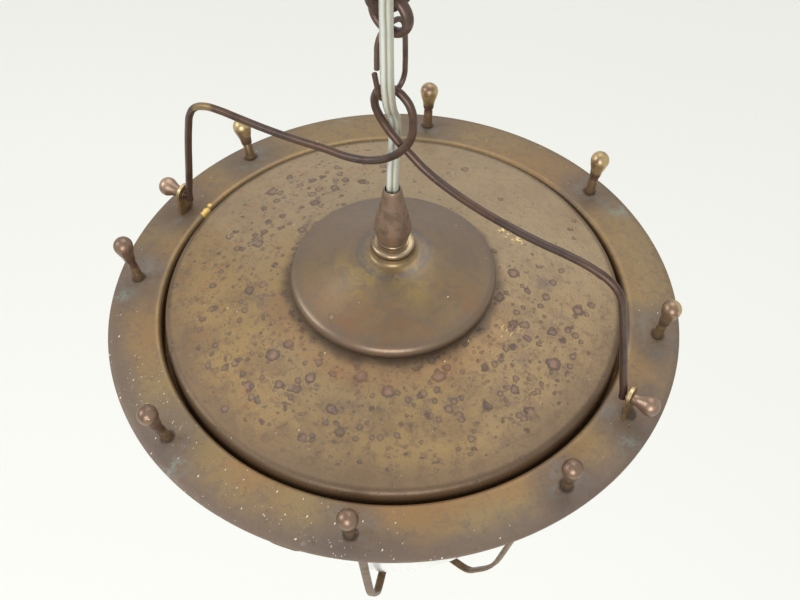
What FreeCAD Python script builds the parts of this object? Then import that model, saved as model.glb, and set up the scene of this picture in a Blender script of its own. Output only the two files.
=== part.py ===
"""Pendant lamp: a flat brass crown hung from a looped bail, with a lift-out cover and a caged opal globe.

Millimetres. Heights below are measured up from the plane of the crown's outer edge, on the lamp's own axis.
Every piece is lowered by ceiling_height when it is written, so the written origin is the centre of the
ceiling plate's top face, +Z up, and the lamp hangs along -Z. +X runs along the bail's two pivots.
"""

import FreeCAD, Part
import math
import os

from FreeCAD import Vector

# ---------------------------------------------------------------- driving sizes
ceiling_height = 252.0

# crown: a gently coned flat ring with a down-turned inner lip and a seat for the cover
crown_r = 130.0
crown_slope = 12.0
crown_t = 1.3
lip_r = 105.6
lip_t = 1.3
lip_bend_r = 1.6
seat_top = -7.8
seat_w = 8.6
seat_t = 1.3

# cover: the shallow cone that drops into the crown
cover_clear = 2.1
cover_seat_gap = 0.3
cover_shoulder = 7.5
cover_slope = 12.8
cover_t = 1.2
cover_bend_r = 3.0

# centre stack: cap, rings, nozzle and the threaded tube that clamps them
tube_r = 5.0
tube_into_holder = 7.0
tube_bore_r = 3.6
tube_clear = 0.1
cap_r = 45.7
cap_seat_r = 43.6
cap_bead_r = 3.4
cap_top_r = 15.6
cap_rise = 19.0
cap_t = 1.2
cap_seat_gap = 0.05
cap_hub_r = 9.4
cap_hub_h = 3.6
ring_r = 9.6
ring_h = 3.2
neck_r = 7.0
neck_h = 2.4
neck_groove = 0.9
nozzle_h = 30.1
nozzle_base_r = 6.5
nozzle_belly_r = 8.1
nozzle_belly_h = 8.5
nozzle_tip_r = 3.75
nozzle_bore_r = 3.05
nozzle_thread_depth = 8.0
grip_h = 4.0
nut_flats = 17.0
nut_h = 3.5
spreader_t = 3.0

# glass and its gallery
globe_r = 75.0
globe_t = 2.2
globe_centre = -93.0
globe_neck_r = 40.0
globe_neck_h = 12.0
globe_bead_r = 1.6
glass_gap = 0.3
gallery_clear = 1.6
gallery_t = 1.0
gallery_depth = 13.0
gallery_screw_r = 1.5
gallery_screw_head_r = 3.2
gallery_screw_head_h = 4.5
gallery_screw_gap = 0.3
gallery_screw_out = 2.0

# lamp holder and bulb
holder_cap_r = 19.5
holder_cap_h = 16.0
holder_skirt_h = 30.0
holder_chamfer = 5.0
holder_t = 1.2
skirt_step = 0.8
insert_gap = 0.7
insert_h = 12.0
insert_below_top = 8.0
contact_r = 3.0
contact_h = 2.5
contact_gap = 0.3
screw_shell_r = 13.4
screw_shell_h = 23.0
screw_shell_gap = 0.4
screw_shell_t = 0.8
bulb_r = 30.0
bulb_length = 104.0
bulb_neck_r = 12.6
bulb_flare_out = 4.5
bulb_flare_drop = 16.0
bulb_cap_gap = 0.3
bulb_cap_taper = 5.0
bulb_contact_r = 4.5

# bail, its pivots and the tabs on the crown
bail_wire_r = 1.7
bail_pivot_h = 14.0
bail_leg_x = 113.5
bail_leg_below = 2.6
bail_loop_top = 134.5
bail_cross_gap = 0.4
bail_left = ((-105.3, 80.8, 0.0, 13.0), (-62.0, 82.3, 0.1, 150.0), (-16.0, 88.6, 1.0, 40.0),
             (7.0, 105.5, 1.0, 18.0), (11.0, 118.0, 0.55, 18.0), (10.2, 134.5, 0.12, 9.3))
bail_right = ((105.9, 82.6, 0.0, 13.0), (62.0, 84.2, 0.1, 150.0), (22.0, 91.0, 1.0, 40.0),
              (-3.5, 109.8, 1.0, 20.0), (-9.0, 121.5, 0.55, 18.0), (-8.6, 134.5, 0.12, 8.1))
pin_r = 1.0
pin_short = 0.2
pin_clear = 0.06
side_gap = 0.3
tab_t = 1.5
tab_w = 9.0
tab_top = 19.0
washer_r = 2.6
washer_t = 0.6
pivot_knob_neck = 8.0

# knobs round the crown and the eight cradle arms that they hold
arm_count = 8
first_arm = 22.5
knob_base_r = 119.8
knob_ball_r = 4.5
knob_stem_r = 2.25
knob_waist_r = 2.5
knob_flare_r = 3.1
knob_neck_share = 0.45
knob_stem_share = 0.5
knob_heights = (18.9, 19.5, 19.7, 17.6, 21.7, 22.5, 18.3, 14.8)
stud_r = 1.75
stud_clear = 0.08
stud_below = 9.0
arm_nut_r = 3.1
arm_nut_h = 2.6
arm_w = 4.2
arm_t = 2.0
foot_gap = 0.05
arm_foot_end = 125.5
arm_foot_corner = 113.2
arm_foot_bend = 3.3
arm_side_gap = 7.0
arm_side_drop = 31.0
arm_side_bend = 100.0
arm_corner_in = 11.0
arm_corner_up = 13.0
arm_corner_bend = 26.0
arm_bottom_gap = 10.0
arm_bottom_r = 22.0
arm_bottom_bend = 14.0
arm_end_r = 9.5
hub_r = 20.0
hub_t = 2.4
hub_pin_r = 4.0
rivet_ring_r = 15.0
rivet_r = 1.2
rivet_head_r = 2.1
rivet_head_h = 0.9
finial_h = 20.0
finial_stud_spare = 3.5
finial_nut_flats = 7.0
finial_nut_h = 2.6

# chain, hook and ceiling fitting
link_gap = 0.5
open_wire_r = 1.1
open_width = 16.2
open_height = 34.8
open_turn = 80.0
open_mouth = 1.2
open_spread = 1.5
heavy_radial = 3.6
heavy_axial = 5.0
heavy_round = 1.5
heavy_inner_r = 6.3
heavy_turn = -8.0
hook_wire_r = 2.4
hook_gap = 0.9
hook_bow_r = 8.0
hook_turn = 58.0
hook_waist = 16.5
hook_kick_rise = 6.0
hook_kick_bend = 4.0
hook_tip_rise = 2.5
hook_above_bridge = 9.0
cup_r = 45.0
cup_depth = 34.0
cup_t = 1.0
cup_foot_r = 24.0
cup_foot_rise = 4.0
plate_r = 42.0
plate_t = 2.0
plate_screw_r = 2.2
plate_screw_spacing = 56.0
bridge_w = 14.0
bridge_drop = 14.0
bridge_t = 2.0
bridge_reach = 13.0
bridge_foot = 8.0
hook_nut_flats = 10.0
hook_nut_h = 4.0
thread_gap = 0.05
bush_flange_r = 6.0
bush_flange_t = 1.4
bush_r = 4.6
bush_h = 7.5
bush_below_end = 9.5
bush_cord_gap = 0.3
block_size = (16.0, 9.0, 10.0)

# flat twin cord: its route in one upright plane, as (distance in front of the axis, height)
cord_w = 5.4
cord_t = 2.7
cord_turn = -68.0
cord_lower = ((0.0, 74.0), (0.0, 88.0), (-12.0, 107.0), (-1.5, 120.0))
cord_loop = ((-1.5, 120.0), (9.0, 133.0), (9.68, 151.0))
cord_chain = ((9.68, 151.0), (10.096, 162.0), (9.45, 173.0), (9.88, 184.0))
cord_upper = ((9.88, 184.0), (10.505, 200.0), (15.4, 214.0), (15.4, 224.0))
lead_r = 0.9
lead_gap = 0.5

UP = Vector(0, 0, 1)
ALONG_X = Vector(1, 0, 0)
os.makedirs("parts", exist_ok=True)


# ---------------------------------------------------------------- small helpers
def save(name, shape):
    """Lower a piece to the ceiling origin and write it as parts/NAME.step."""
    placed = shape.copy()
    placed.translate(Vector(0, 0, -ceiling_height))
    placed.exportStep("parts/%s.step" % name)


def turned(shape, degrees, axis=UP, about=Vector(0, 0, 0)):
    """A copy of the shape turned about an axis."""
    copy = shape.copy()
    copy.rotate(about, axis, degrees)
    return copy


def moved(shape, x=0.0, y=0.0, z=0.0):
    """A copy of the shape moved by an offset."""
    copy = shape.copy()
    copy.translate(Vector(x, y, z))
    return copy


def rod(radius, length, at, axis=UP):
    """A round rod that starts at a point and runs along an axis."""
    return Part.makeCylinder(radius, length, at, axis)


def pipe(outer_r, inner_r, length, at, axis=UP):
    """A round tube or washer."""
    return rod(outer_r, length, at, axis).cut(rod(inner_r, length, at, axis))


def hexagon(flats, height, z):
    """An upright hexagonal prism, flats being the distance across its flats."""
    corner_r = flats / math.sqrt(3)
    corners = [Vector(corner_r * math.cos(math.radians(60 * k)), corner_r * math.sin(math.radians(60 * k)), z)
               for k in range(7)]
    return Part.Face(Part.makePolygon(corners)).extrude(Vector(0, 0, height))


def spun(profile):
    """Turn a closed outline of (radius, height) pairs about the lamp's axis into a solid."""
    wire = Part.makePolygon([Vector(r, 0, z) for r, z in profile + [profile[0]]])
    return Part.Face(wire).revolve(Vector(0, 0, 0), UP, 360)


def spun_edges(edges):
    """Turn a closed outline of edges in the XZ plane about the lamp's axis into a solid."""
    return Part.Face(Part.Wire(edges)).revolve(Vector(0, 0, 0), UP, 360)


def line(a, b):
    """A straight edge between two (radius, height) points."""
    return Part.LineSegment(Vector(a[0], 0, a[1]), Vector(b[0], 0, b[1])).toShape()


def arc(a, mid, b):
    """An arc through three (radius, height) points."""
    return Part.Arc(Vector(a[0], 0, a[1]), Vector(mid[0], 0, mid[1]), Vector(b[0], 0, b[1])).toShape()


def curve(points, start=None, end=None):
    """A smooth edge through (radius, height) points, with optional end directions."""
    spline = Part.BSplineCurve()
    vectors = [Vector(r, 0, z) for r, z in points]
    if start is None:
        spline.interpolate(Points=vectors)
    else:
        spline.interpolate(Points=vectors, InitialTangent=Vector(start[0], 0, start[1]),
                           FinalTangent=Vector(end[0], 0, end[1]))
    return spline.toShape()


def rounded_path(points, radii):
    """A wire of straight runs joined by tangent arcs, one radius for each inner point."""
    edges, last = [], points[0]
    for before, corner, after, radius in zip(points, points[1:], points[2:], radii):
        into = (corner - before).normalize()
        out = (after - corner).normalize()
        half_turn = into.getAngle(out) / 2
        reach = radius * math.tan(half_turn)
        start, end = corner - into * reach, corner + out * reach
        inward = (out - into).normalize()
        middle = corner + inward * (radius / math.cos(half_turn) - radius)
        if (start - last).Length > 1e-4:
            edges.append(Part.LineSegment(last, start).toShape())
        edges.append(Part.Arc(start, middle, end).toShape())
        last = end
    if (points[-1] - last).Length > 1e-4:
        edges.append(Part.LineSegment(last, points[-1]).toShape())
    return Part.Wire(edges)


def swept_round(path, radius):
    """A round wire along a path."""
    start = path.Edges[0].firstVertex().Point
    tangent = path.Edges[0].tangentAt(path.Edges[0].FirstParameter)
    section = Part.Wire(Part.makeCircle(radius, start, tangent))
    return path.makePipeShell([section], True, False)


def swept_section(path, section, binormal):
    """A flat section along a path that lies in one plane, kept square to that plane."""
    sweep = Part.BRepOffsetAPI.MakePipeShell(path)
    sweep.setBiNormalMode(binormal)
    sweep.add(section)
    sweep.build()
    sweep.makeSolid()
    return sweep.shape()


def crown_top(r):
    """Height of the crown's upper face at a radius."""
    return (crown_r - r) * math.tan(math.radians(crown_slope))


def crown_under(r):
    """Height of the crown's lower face at a radius."""
    return crown_top(r) - crown_t / math.cos(math.radians(crown_slope))


def cover_top(r):
    """Height of the cover's upper face at a radius inside its shoulder."""
    return cover_shoulder + (cover_r - r) * math.tan(math.radians(cover_slope))


# ---------------------------------------------------------------- worked-out sizes
seat_r = lip_r - seat_w
cover_r = lip_r - cover_clear
knob_axis = Vector(math.sin(math.radians(crown_slope)), 0, math.cos(math.radians(crown_slope)))
cap_base = cover_top(cap_seat_r)
cap_top = cap_base + cap_rise
cap_hub_top = cap_top + cap_hub_h
ring_top = cap_hub_top + ring_h
neck_top = ring_top + neck_h
nozzle_top = neck_top + nozzle_h
gallery_top = globe_centre + math.sqrt(globe_r ** 2 - globe_neck_r ** 2) + globe_neck_h + gallery_t + glass_gap
holder_top = gallery_top - gallery_t
holder_bottom = holder_top - holder_cap_h - holder_skirt_h
insert_r = holder_cap_r - skirt_step - holder_t - insert_gap
insert_base = holder_top - insert_below_top - insert_h
contact_base = insert_base - contact_h
arm_low = globe_centre - globe_r - arm_bottom_gap
arm_points = ((globe_r + arm_side_gap, globe_centre - arm_side_drop, arm_side_bend),
              (globe_r - arm_corner_in, globe_centre - globe_r + arm_corner_up, arm_corner_bend),
              (arm_bottom_r, arm_low, arm_bottom_bend))
bulb_top = contact_base
bulb_bottom = bulb_top - bulb_length
open_low = bail_loop_top - bail_wire_r - link_gap - open_wire_r
open_high = open_low + open_height
heavy_low = open_high - open_wire_r - link_gap - heavy_radial
heavy_centre = heavy_low + heavy_radial + heavy_inner_r
hook_low = heavy_centre + heavy_inner_r - hook_gap - hook_wire_r
cup_foot = ceiling_height - cup_depth


# ---------------------------------------------------------------- crown
def make_crown():
    """The coned ring, its rounded inner lip, the short wall and the seat flange, spun from one sheet."""
    slope = math.radians(crown_slope)
    bend = lip_bend_r
    top_in = (lip_r + bend, crown_top(lip_r + bend) - bend * math.tan(slope) * 0.5)
    wall_top = top_in[1] - bend
    outer = [line((crown_r, 0.0), top_in)]
    outer.append(arc(top_in, (lip_r + bend * 0.3, top_in[1] - bend * 0.3), (lip_r, wall_top)))
    outer.append(line((lip_r, wall_top), (lip_r, seat_top)))
    outer.append(line((lip_r, seat_top), (seat_r, seat_top)))
    outer.append(line((seat_r, seat_top), (seat_r, seat_top - seat_t)))
    outer.append(line((seat_r, seat_top - seat_t), (lip_r + lip_t, seat_top - seat_t)))
    under = (lip_r + lip_t, crown_under(lip_r + lip_t))
    outer.append(line((lip_r + lip_t, seat_top - seat_t), under))
    outer.append(line(under, (crown_r, crown_under(crown_r))))
    outer.append(line((crown_r, crown_under(crown_r)), (crown_r, 0.0)))
    ring = spun_edges(outer)
    for k in range(arm_count):
        hole = rod(stud_r + stud_clear, 12.0, knob_foot() - knob_axis * 6.0, knob_axis)
        ring = ring.cut(turned(hole, first_arm + k * 360.0 / arm_count))
    return ring


def knob_foot():
    """Where a knob's axis meets the crown's upper face, on +X."""
    return Vector(knob_base_r, 0, crown_top(knob_base_r))


def knob_profile(height):
    """A ball knob on +Z from its seat at 0: stem, flared waist and ball, as one outline."""
    waist = height * knob_stem_share
    neck_z = height - knob_ball_r * knob_neck_share
    neck_r = knob_ball_r * math.sqrt(1 - knob_neck_share ** 2)
    flare = curve([(knob_waist_r, waist), (knob_flare_r, (waist + neck_z) / 2), (neck_r, neck_z)],
                  (0.08, 1.0), (0.30, 1.0))
    ball = arc((neck_r, neck_z), (knob_ball_r, height), (0.0, height + knob_ball_r))
    return [line((0.0, 0.0), (knob_stem_r, 0.0)), line((knob_stem_r, 0.0), (knob_stem_r, waist)),
            line((knob_stem_r, waist), (knob_waist_r, waist)), flare, ball,
            line((0.0, height + knob_ball_r), (0.0, 0.0))]


def make_knob(height, stud_length, stud_radius):
    """A ball knob with its threaded stud below, standing on the origin along +Z."""
    stud = rod(stud_radius, stud_length + 1.0, Vector(0, 0, -stud_length))
    return spun_edges(knob_profile(height)).fuse(stud).removeSplitter()


def make_ring_knobs():
    """The eight ball knobs, square to the crown's face, each screwed down a little differently."""
    knobs = []
    for k, height in enumerate(knob_heights):
        knob = turned(make_knob(height, stud_below, stud_r), crown_slope, Vector(0, 1, 0))
        knob.translate(knob_foot())
        knobs.append(turned(knob, first_arm + k * 360.0 / arm_count))
    return Part.makeCompound(knobs)


def arm_foot_height(r):
    """Height of an arm's middle where its foot lies flat under the crown."""
    return crown_under(r) - (arm_t / 2 + foot_gap) / math.cos(math.radians(crown_slope))


def make_arm():
    """One cradle arm on +X: a foot under the crown, a leaning leg and a curl in to the lower hub."""
    ends = [Vector(arm_foot_end, 0, arm_foot_height(arm_foot_end)),
            Vector(arm_foot_corner, 0, arm_foot_height(arm_foot_corner))]
    bends = [Vector(r, 0, z) for r, z, _ in arm_points]
    points = ends + bends + [Vector(arm_end_r, 0, arm_low)]
    path = rounded_path(points, [arm_foot_bend] + [radius for _, _, radius in arm_points])
    start, toward = points[0], (points[1] - points[0]).normalize()
    across = Vector(0, arm_w / 2, 0)
    up = Vector(0, 1, 0).cross(toward).normalize() * (arm_t / 2)
    corners = [start + across + up, start - across + up, start - across - up, start + across - up]
    arm = swept_section(path, Part.makePolygon(corners + [corners[0]]), Vector(0, 1, 0))
    hole = rod(stud_r + stud_clear, 12.0, knob_foot() - knob_axis * 9.0, knob_axis)
    rivet_hole = rod(rivet_r, 8.0, Vector(rivet_ring_r, 0, arm_low - 4.0))
    return arm.cut(hole).cut(rivet_hole)


def make_arm_nuts():
    """Round nuts on the studs, tight under the arms' feet."""
    depth = crown_t + arm_t + 2 * foot_gap
    nut = pipe(arm_nut_r, stud_r, arm_nut_h, knob_foot() - knob_axis * (depth + arm_nut_h), knob_axis)
    return Part.makeCompound([turned(nut, first_arm + k * 360.0 / arm_count) for k in range(arm_count)])


def make_hub():
    """The plate under the arms' inner ends, with its centre hole and rivet holes."""
    top = arm_low - arm_t / 2
    plate = pipe(hub_r, hub_pin_r / 2 + stud_clear, hub_t, Vector(0, 0, top - hub_t))
    plate = plate.makeFillet(hub_t * 0.35, [e for e in plate.Edges
                                           if abs(e.BoundBox.XMax - hub_r) < 1e-3
                                           and e.BoundBox.ZMax < top - hub_t + 1e-3])
    for k in range(arm_count):
        hole = rod(rivet_r, hub_t, Vector(rivet_ring_r, 0, top - hub_t))
        plate = plate.cut(turned(hole, first_arm + k * 360.0 / arm_count))
    return plate


def make_rivets():
    """Eight rivets through the arms' ends and the hub plate, headed on both sides."""
    top = arm_low + arm_t / 2
    grip = arm_t + hub_t
    shank = rod(rivet_r, grip, Vector(rivet_ring_r, 0, top - grip))
    upper = rod(rivet_head_r, rivet_head_h, Vector(rivet_ring_r, 0, top))
    lower = rod(rivet_head_r, rivet_head_h, Vector(rivet_ring_r, 0, top - grip - rivet_head_h))
    rivet = shank.fuse([upper, lower]).removeSplitter()
    return Part.makeCompound([turned(rivet, first_arm + k * 360.0 / arm_count) for k in range(arm_count)])


def make_finial():
    """The ball finial under the hub, a crown knob turned upside down, with its stud upwards."""
    seat = arm_low - arm_t / 2 - hub_t
    finial = make_knob(finial_h, hub_t + arm_t + finial_stud_spare, hub_pin_r / 2)
    return moved(turned(finial, 180, ALONG_X), z=seat)


def make_finial_nut():
    """The hexagonal nut above the hub that holds the finial's stud."""
    base = arm_low - arm_t / 2
    bore = rod(hub_pin_r / 2, finial_nut_h, Vector(0, 0, base))
    return hexagon(finial_nut_flats, finial_nut_h, base).cut(bore)


# ---------------------------------------------------------------- tabs, bail and pivots
def tab_inner_x():
    """Inner face of a tab, outside the bail's leg and the washer."""
    return bail_leg_x + bail_wire_r + side_gap + washer_t + side_gap


def make_tabs():
    """Two upright ears brazed on the crown, rounded at the top, each with a pivot hole."""
    inner = tab_inner_x()
    foot = crown_under(inner + tab_t) + crown_t * 0.5
    foot_on = crown_top(inner + tab_t)
    straight = tab_top - tab_w / 2
    plate = Part.makeBox(tab_t, tab_w, straight - foot_on, Vector(inner, -tab_w / 2, foot_on))
    head = rod(tab_w / 2, tab_t, Vector(inner, 0, straight), ALONG_X)
    skirt = Part.makeBox(tab_t, tab_w, foot_on - foot, Vector(inner, -tab_w / 2, foot))
    tab = plate.fuse(head).fuse(skirt).cut(crown_blank()).removeSplitter()
    tab = tab.cut(rod(pin_r + pin_clear, tab_t, Vector(inner, 0, bail_pivot_h), ALONG_X))
    return Part.makeCompound([tab, turned(tab, 180)])


def crown_blank():
    """The solid cone under the crown's upper face, which the tabs' feet are cut to."""
    return Part.makeCone(crown_r, seat_r, crown_top(seat_r), Vector(0, 0, 0), UP)


def make_washers():
    """Thin washers between each tab and the bail's leg."""
    at = Vector(tab_inner_x() - side_gap - washer_t, 0, bail_pivot_h)
    washer = pipe(washer_r, pin_r + pin_clear, washer_t, at, ALONG_X)
    return Part.makeCompound([washer, turned(washer, 180)])


def make_pivot_knob():
    """The right-hand pivot: a ball knob whose stud runs in through tab and washer into the bail's leg."""
    outer = tab_inner_x() + tab_t + foot_gap
    inner_end = bail_leg_x - bail_wire_r + pin_short
    knob = make_knob(pivot_knob_neck, outer - inner_end, pin_r)
    return moved(turned(knob, 90, Vector(0, 1, 0)), outer, 0, bail_pivot_h)


def make_bail():
    """The wire bail: two drilled legs, two sagging shoulders and a twisted loop over the middle."""
    cross = bail_wire_r + bail_cross_gap / 2
    wires = []
    for side, depth, corners in ((-1, -cross, bail_left), (1, cross, bail_right)):
        points = [Vector(side * bail_leg_x, 0, bail_pivot_h - bail_leg_below)]
        points += [Vector(x, share * depth, z) for x, z, share, _ in corners]
        points.append(Vector(0, 0, bail_loop_top))
        wires.append(swept_round(rounded_path(points, [corner[3] for corner in corners]), bail_wire_r))
    body = wires[0].fuse(wires[1])
    for side in (-1, 1):
        start = Vector(side * bail_leg_x - 2 * bail_wire_r, 0, bail_pivot_h)
        body = body.cut(rod(pin_r + pin_clear, 4 * bail_wire_r, start, ALONG_X))
    return body


# ---------------------------------------------------------------- cover and centre stack
def make_cover():
    """The shallow coned cover with a rounded shoulder and a short wall standing on the crown's seat."""
    slope = math.radians(cover_slope)
    bend = cover_bend_r
    shoulder = (cover_r - bend, cover_top(cover_r - bend))
    wall_top = shoulder[1] - bend
    foot = seat_top + cover_seat_gap
    hole = tube_r + tube_clear
    drop = cover_t / math.cos(slope)
    edges = [line((hole, cover_top(hole)), shoulder),
             arc(shoulder, (cover_r - bend * 0.28, shoulder[1] - bend * 0.32), (cover_r, wall_top)),
             line((cover_r, wall_top), (cover_r, foot)),
             line((cover_r, foot), (cover_r - cover_t, foot)),
             line((cover_r - cover_t, foot), (cover_r - cover_t, wall_top))]
    inner_r = shoulder[0] - cover_t * 0.2
    inner_shoulder = (inner_r, cover_top(inner_r) - drop)
    inner_mid = (cover_r - cover_t - (bend - cover_t) * 0.3, wall_top + (inner_shoulder[1] - wall_top) * 0.72)
    edges.append(arc((cover_r - cover_t, wall_top), inner_mid, inner_shoulder))
    edges.append(line(inner_shoulder, (hole, cover_top(hole) - drop)))
    edges.append(line((hole, cover_top(hole) - drop), (hole, cover_top(hole))))
    return spun_edges(edges)


def make_cap():
    """The low domed cap with a rolled rim, a flat hub and an open underside."""
    bead_mid = (cap_r, cap_base + cap_bead_r)
    bead_top = (cap_r - cap_bead_r * 0.75, cap_base + cap_bead_r * 1.95)
    hub = (cap_top_r, cap_top)
    hole = tube_r + tube_clear
    crest = curve([bead_top, (cap_r * 0.66, cap_base + cap_rise * 0.66), hub],
                  (-1.0, 0.42), (-1.0, 0.30))
    under = curve([(cap_top_r, cap_top - cap_t), (cap_r * 0.66, cap_base + cap_rise * 0.66 - cap_t),
                   (bead_top[0] - cap_t * 0.4, bead_top[1] - cap_t)], (1.0, -0.30), (1.0, -0.42))
    foot = (cap_seat_r, cap_base + cap_seat_gap)
    inner_foot = (cap_seat_r - cap_t, foot[1] + cap_t * math.tan(math.radians(cover_slope)))
    edges = [arc(foot, bead_mid, bead_top), crest,
             line(hub, (cap_hub_r + 0.6, cap_top + 0.5)),
             line((cap_hub_r + 0.6, cap_top + 0.5), (cap_hub_r, cap_hub_top)),
             line((cap_hub_r, cap_hub_top), (hole, cap_hub_top)),
             line((hole, cap_hub_top), (hole, cap_top - cap_t)),
             line((hole, cap_top - cap_t), (cap_top_r, cap_top - cap_t)), under,
             arc((bead_top[0] - cap_t * 0.4, bead_top[1] - cap_t), (cap_r - cap_t, cap_base + cap_bead_r),
                 inner_foot),
             line(inner_foot, foot)]
    return spun_edges(edges)


def make_collar_ring():
    """The plain round ring under the neck."""
    half = ring_h / 2
    flat = ring_r - half
    hole = tube_r + tube_clear
    return spun_edges([line((hole, cap_hub_top), (flat, cap_hub_top)),
                       arc((flat, cap_hub_top), (ring_r, cap_hub_top + half), (flat, ring_top)),
                       line((flat, ring_top), (hole, ring_top)), line((hole, ring_top), (hole, cap_hub_top))])


def make_neck():
    """The small grooved collar between ring and nozzle."""
    hole = tube_r + tube_clear
    third = neck_h / 3
    return spun([(hole, ring_top), (neck_r, ring_top), (neck_r, ring_top + third),
                 (neck_r - neck_groove, ring_top + third), (neck_r - neck_groove, ring_top + 2 * third),
                 (neck_r - 0.3, ring_top + 2 * third), (neck_r - 0.3, neck_top), (hole, neck_top)])


def make_nozzle():
    """The pear-shaped cord outlet, bored for the cord and tapped below for the tube."""
    belly = (nozzle_belly_r, neck_top + nozzle_belly_h)
    side = curve([(nozzle_base_r, neck_top), belly, (nozzle_tip_r + 1.9, neck_top + nozzle_h * 0.66),
                  (nozzle_tip_r, nozzle_top)], (0.5, 1.0), (-0.10, 1.0))
    thread_top = neck_top + nozzle_thread_depth
    return spun_edges([line((tube_r, neck_top), (nozzle_base_r, neck_top)), side,
                       line((nozzle_tip_r, nozzle_top), (nozzle_bore_r, nozzle_top)),
                       line((nozzle_bore_r, nozzle_top), (nozzle_bore_r, thread_top)),
                       line((nozzle_bore_r, thread_top), (tube_r, thread_top)),
                       line((tube_r, thread_top), (tube_r, neck_top))])


def make_grip():
    """The moulded grip inside the nozzle's bore, which the cord ends on and the two leads leave."""
    top = cord_lower[0][1]
    grip = rod(nozzle_bore_r, grip_h, Vector(0, 0, top - grip_h))
    for side in (-1, 1):
        grip = grip.cut(rod(lead_r, grip_h - 1.0, Vector(side * (lead_r + lead_gap), 0, top - grip_h)))
    return grip


def make_tube():
    """The threaded tube that clamps nozzle, neck, ring, cap, cover, gallery and lamp holder."""
    low = holder_top - tube_into_holder
    high = neck_top + nozzle_thread_depth
    return pipe(tube_r, tube_bore_r, high - low, Vector(0, 0, low))


def make_tube_nuts():
    """Hexagonal nuts on the tube: one under the cover and one on the gallery."""
    wall_drop = cover_t / math.cos(math.radians(cover_slope))
    under_cover = cover_top(tube_r + tube_clear) - wall_drop - spreader_t - nut_h
    nuts = []
    for z in (under_cover, gallery_top):
        nuts.append(hexagon(nut_flats, nut_h, z).cut(rod(tube_r, nut_h, Vector(0, 0, z))))
    return Part.makeCompound(nuts)


def make_spreader():
    """The coned washer that fills the cover's apex above its nut."""
    hole = tube_r + tube_clear
    r = nut_flats * 0.72
    drop = cover_t / math.cos(math.radians(cover_slope))
    low = cover_top(hole) - drop - spreader_t
    return spun([(hole, low), (r, low), (r, cover_top(r) - drop), (hole, cover_top(hole) - drop)])


def make_leads():
    """The two insulated leads from the grip down the tube to the lamp holder's contacts."""
    top = cord_lower[0][1] - 1.0
    low = insert_base + insert_h
    lead = rod(lead_r, top - low, Vector(lead_r + lead_gap, 0, low))
    return Part.makeCompound([lead, turned(lead, 180)])


# ---------------------------------------------------------------- glass, gallery, lamp holder, bulb
def make_globe():
    """The opal globe: a hollow ball with a straight neck and a beaded rim."""
    inner_r = globe_r - globe_t
    neck_in = globe_neck_r - globe_t
    join = globe_centre + math.sqrt(globe_r ** 2 - globe_neck_r ** 2)
    join_in = globe_centre + math.sqrt(inner_r ** 2 - neck_in ** 2)
    rim = join + globe_neck_h
    bead = globe_bead_r
    return spun_edges([arc((0.0, globe_centre - globe_r), (globe_r, globe_centre), (globe_neck_r, join)),
                       line((globe_neck_r, join), (globe_neck_r, rim - 2 * bead)),
                       arc((globe_neck_r, rim - 2 * bead), (globe_neck_r + bead, rim - bead),
                           (globe_neck_r, rim)),
                       line((globe_neck_r, rim), (neck_in, rim)), line((neck_in, rim), (neck_in, join_in)),
                       arc((neck_in, join_in), (inner_r, globe_centre), (0.0, globe_centre - inner_r)),
                       line((0.0, globe_centre - inner_r), (0.0, globe_centre - globe_r))])


def make_gallery():
    """The spun holder over the globe's neck, with three tapped holes in its skirt."""
    inner = globe_neck_r + globe_bead_r + gallery_clear
    outer = inner + gallery_t
    low = gallery_top - gallery_depth
    hole = tube_r + tube_clear
    cup = spun([(hole, gallery_top - gallery_t), (inner, gallery_top - gallery_t), (inner, low), (outer, low),
                (outer, gallery_top), (hole, gallery_top)])
    for k in range(3):
        at = Vector(inner - 1, 0, low + gallery_screw_head_r)
        cup = cup.cut(turned(rod(gallery_screw_r, gallery_t + 2, at, ALONG_X), 90 + 120 * k))
    return cup


def make_gallery_screws():
    """Three thumb screws through the gallery's skirt, just clear of the glass neck."""
    inner = globe_neck_r + globe_bead_r + gallery_clear
    at_z = gallery_top - gallery_depth + gallery_screw_head_r
    tip = globe_neck_r + gallery_screw_gap
    reach = inner + gallery_t + gallery_screw_out - tip
    shank = rod(gallery_screw_r, reach, Vector(tip, 0, at_z), ALONG_X)
    head = rod(gallery_screw_head_r, gallery_screw_head_h, Vector(tip + reach, 0, at_z), ALONG_X)
    screw = shank.fuse(head).removeSplitter()
    return Part.makeCompound([turned(screw, 90 + 120 * k) for k in range(3)])


def make_holder_cap():
    """The lamp holder's brass cap, screwed on the tube under the gallery."""
    r, t = holder_cap_r, holder_t
    low = holder_top - holder_cap_h
    slant = holder_chamfer
    return spun([(tube_r, holder_top), (r - slant, holder_top), (r, holder_top - slant), (r, low), (r - t, low),
                 (r - t, holder_top - slant - t * 0.4), (r - slant - t * 0.4, holder_top - t),
                 (tube_r, holder_top - t)])


def make_holder_skirt():
    """The lamp holder's outer shell, open below for the bulb."""
    r, t = holder_cap_r - skirt_step, holder_t
    high = holder_top - holder_cap_h
    return spun([(r - t, holder_bottom), (r, holder_bottom), (r, high), (r - t, high)])


def make_insert():
    """The porcelain insert inside the holder's cap, carrying the centre contact."""
    return rod(insert_r, insert_h, Vector(0, 0, insert_base))


def make_contact():
    """The sprung centre contact under the porcelain insert."""
    return rod(contact_r, contact_h - contact_gap, Vector(0, 0, insert_base - contact_h + contact_gap))


def make_thread_shell():
    """The threaded brass sleeve that takes the bulb's cap."""
    r = screw_shell_r + screw_shell_gap
    return pipe(r + screw_shell_t, r, screw_shell_h, Vector(0, 0, insert_base - screw_shell_h))


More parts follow.
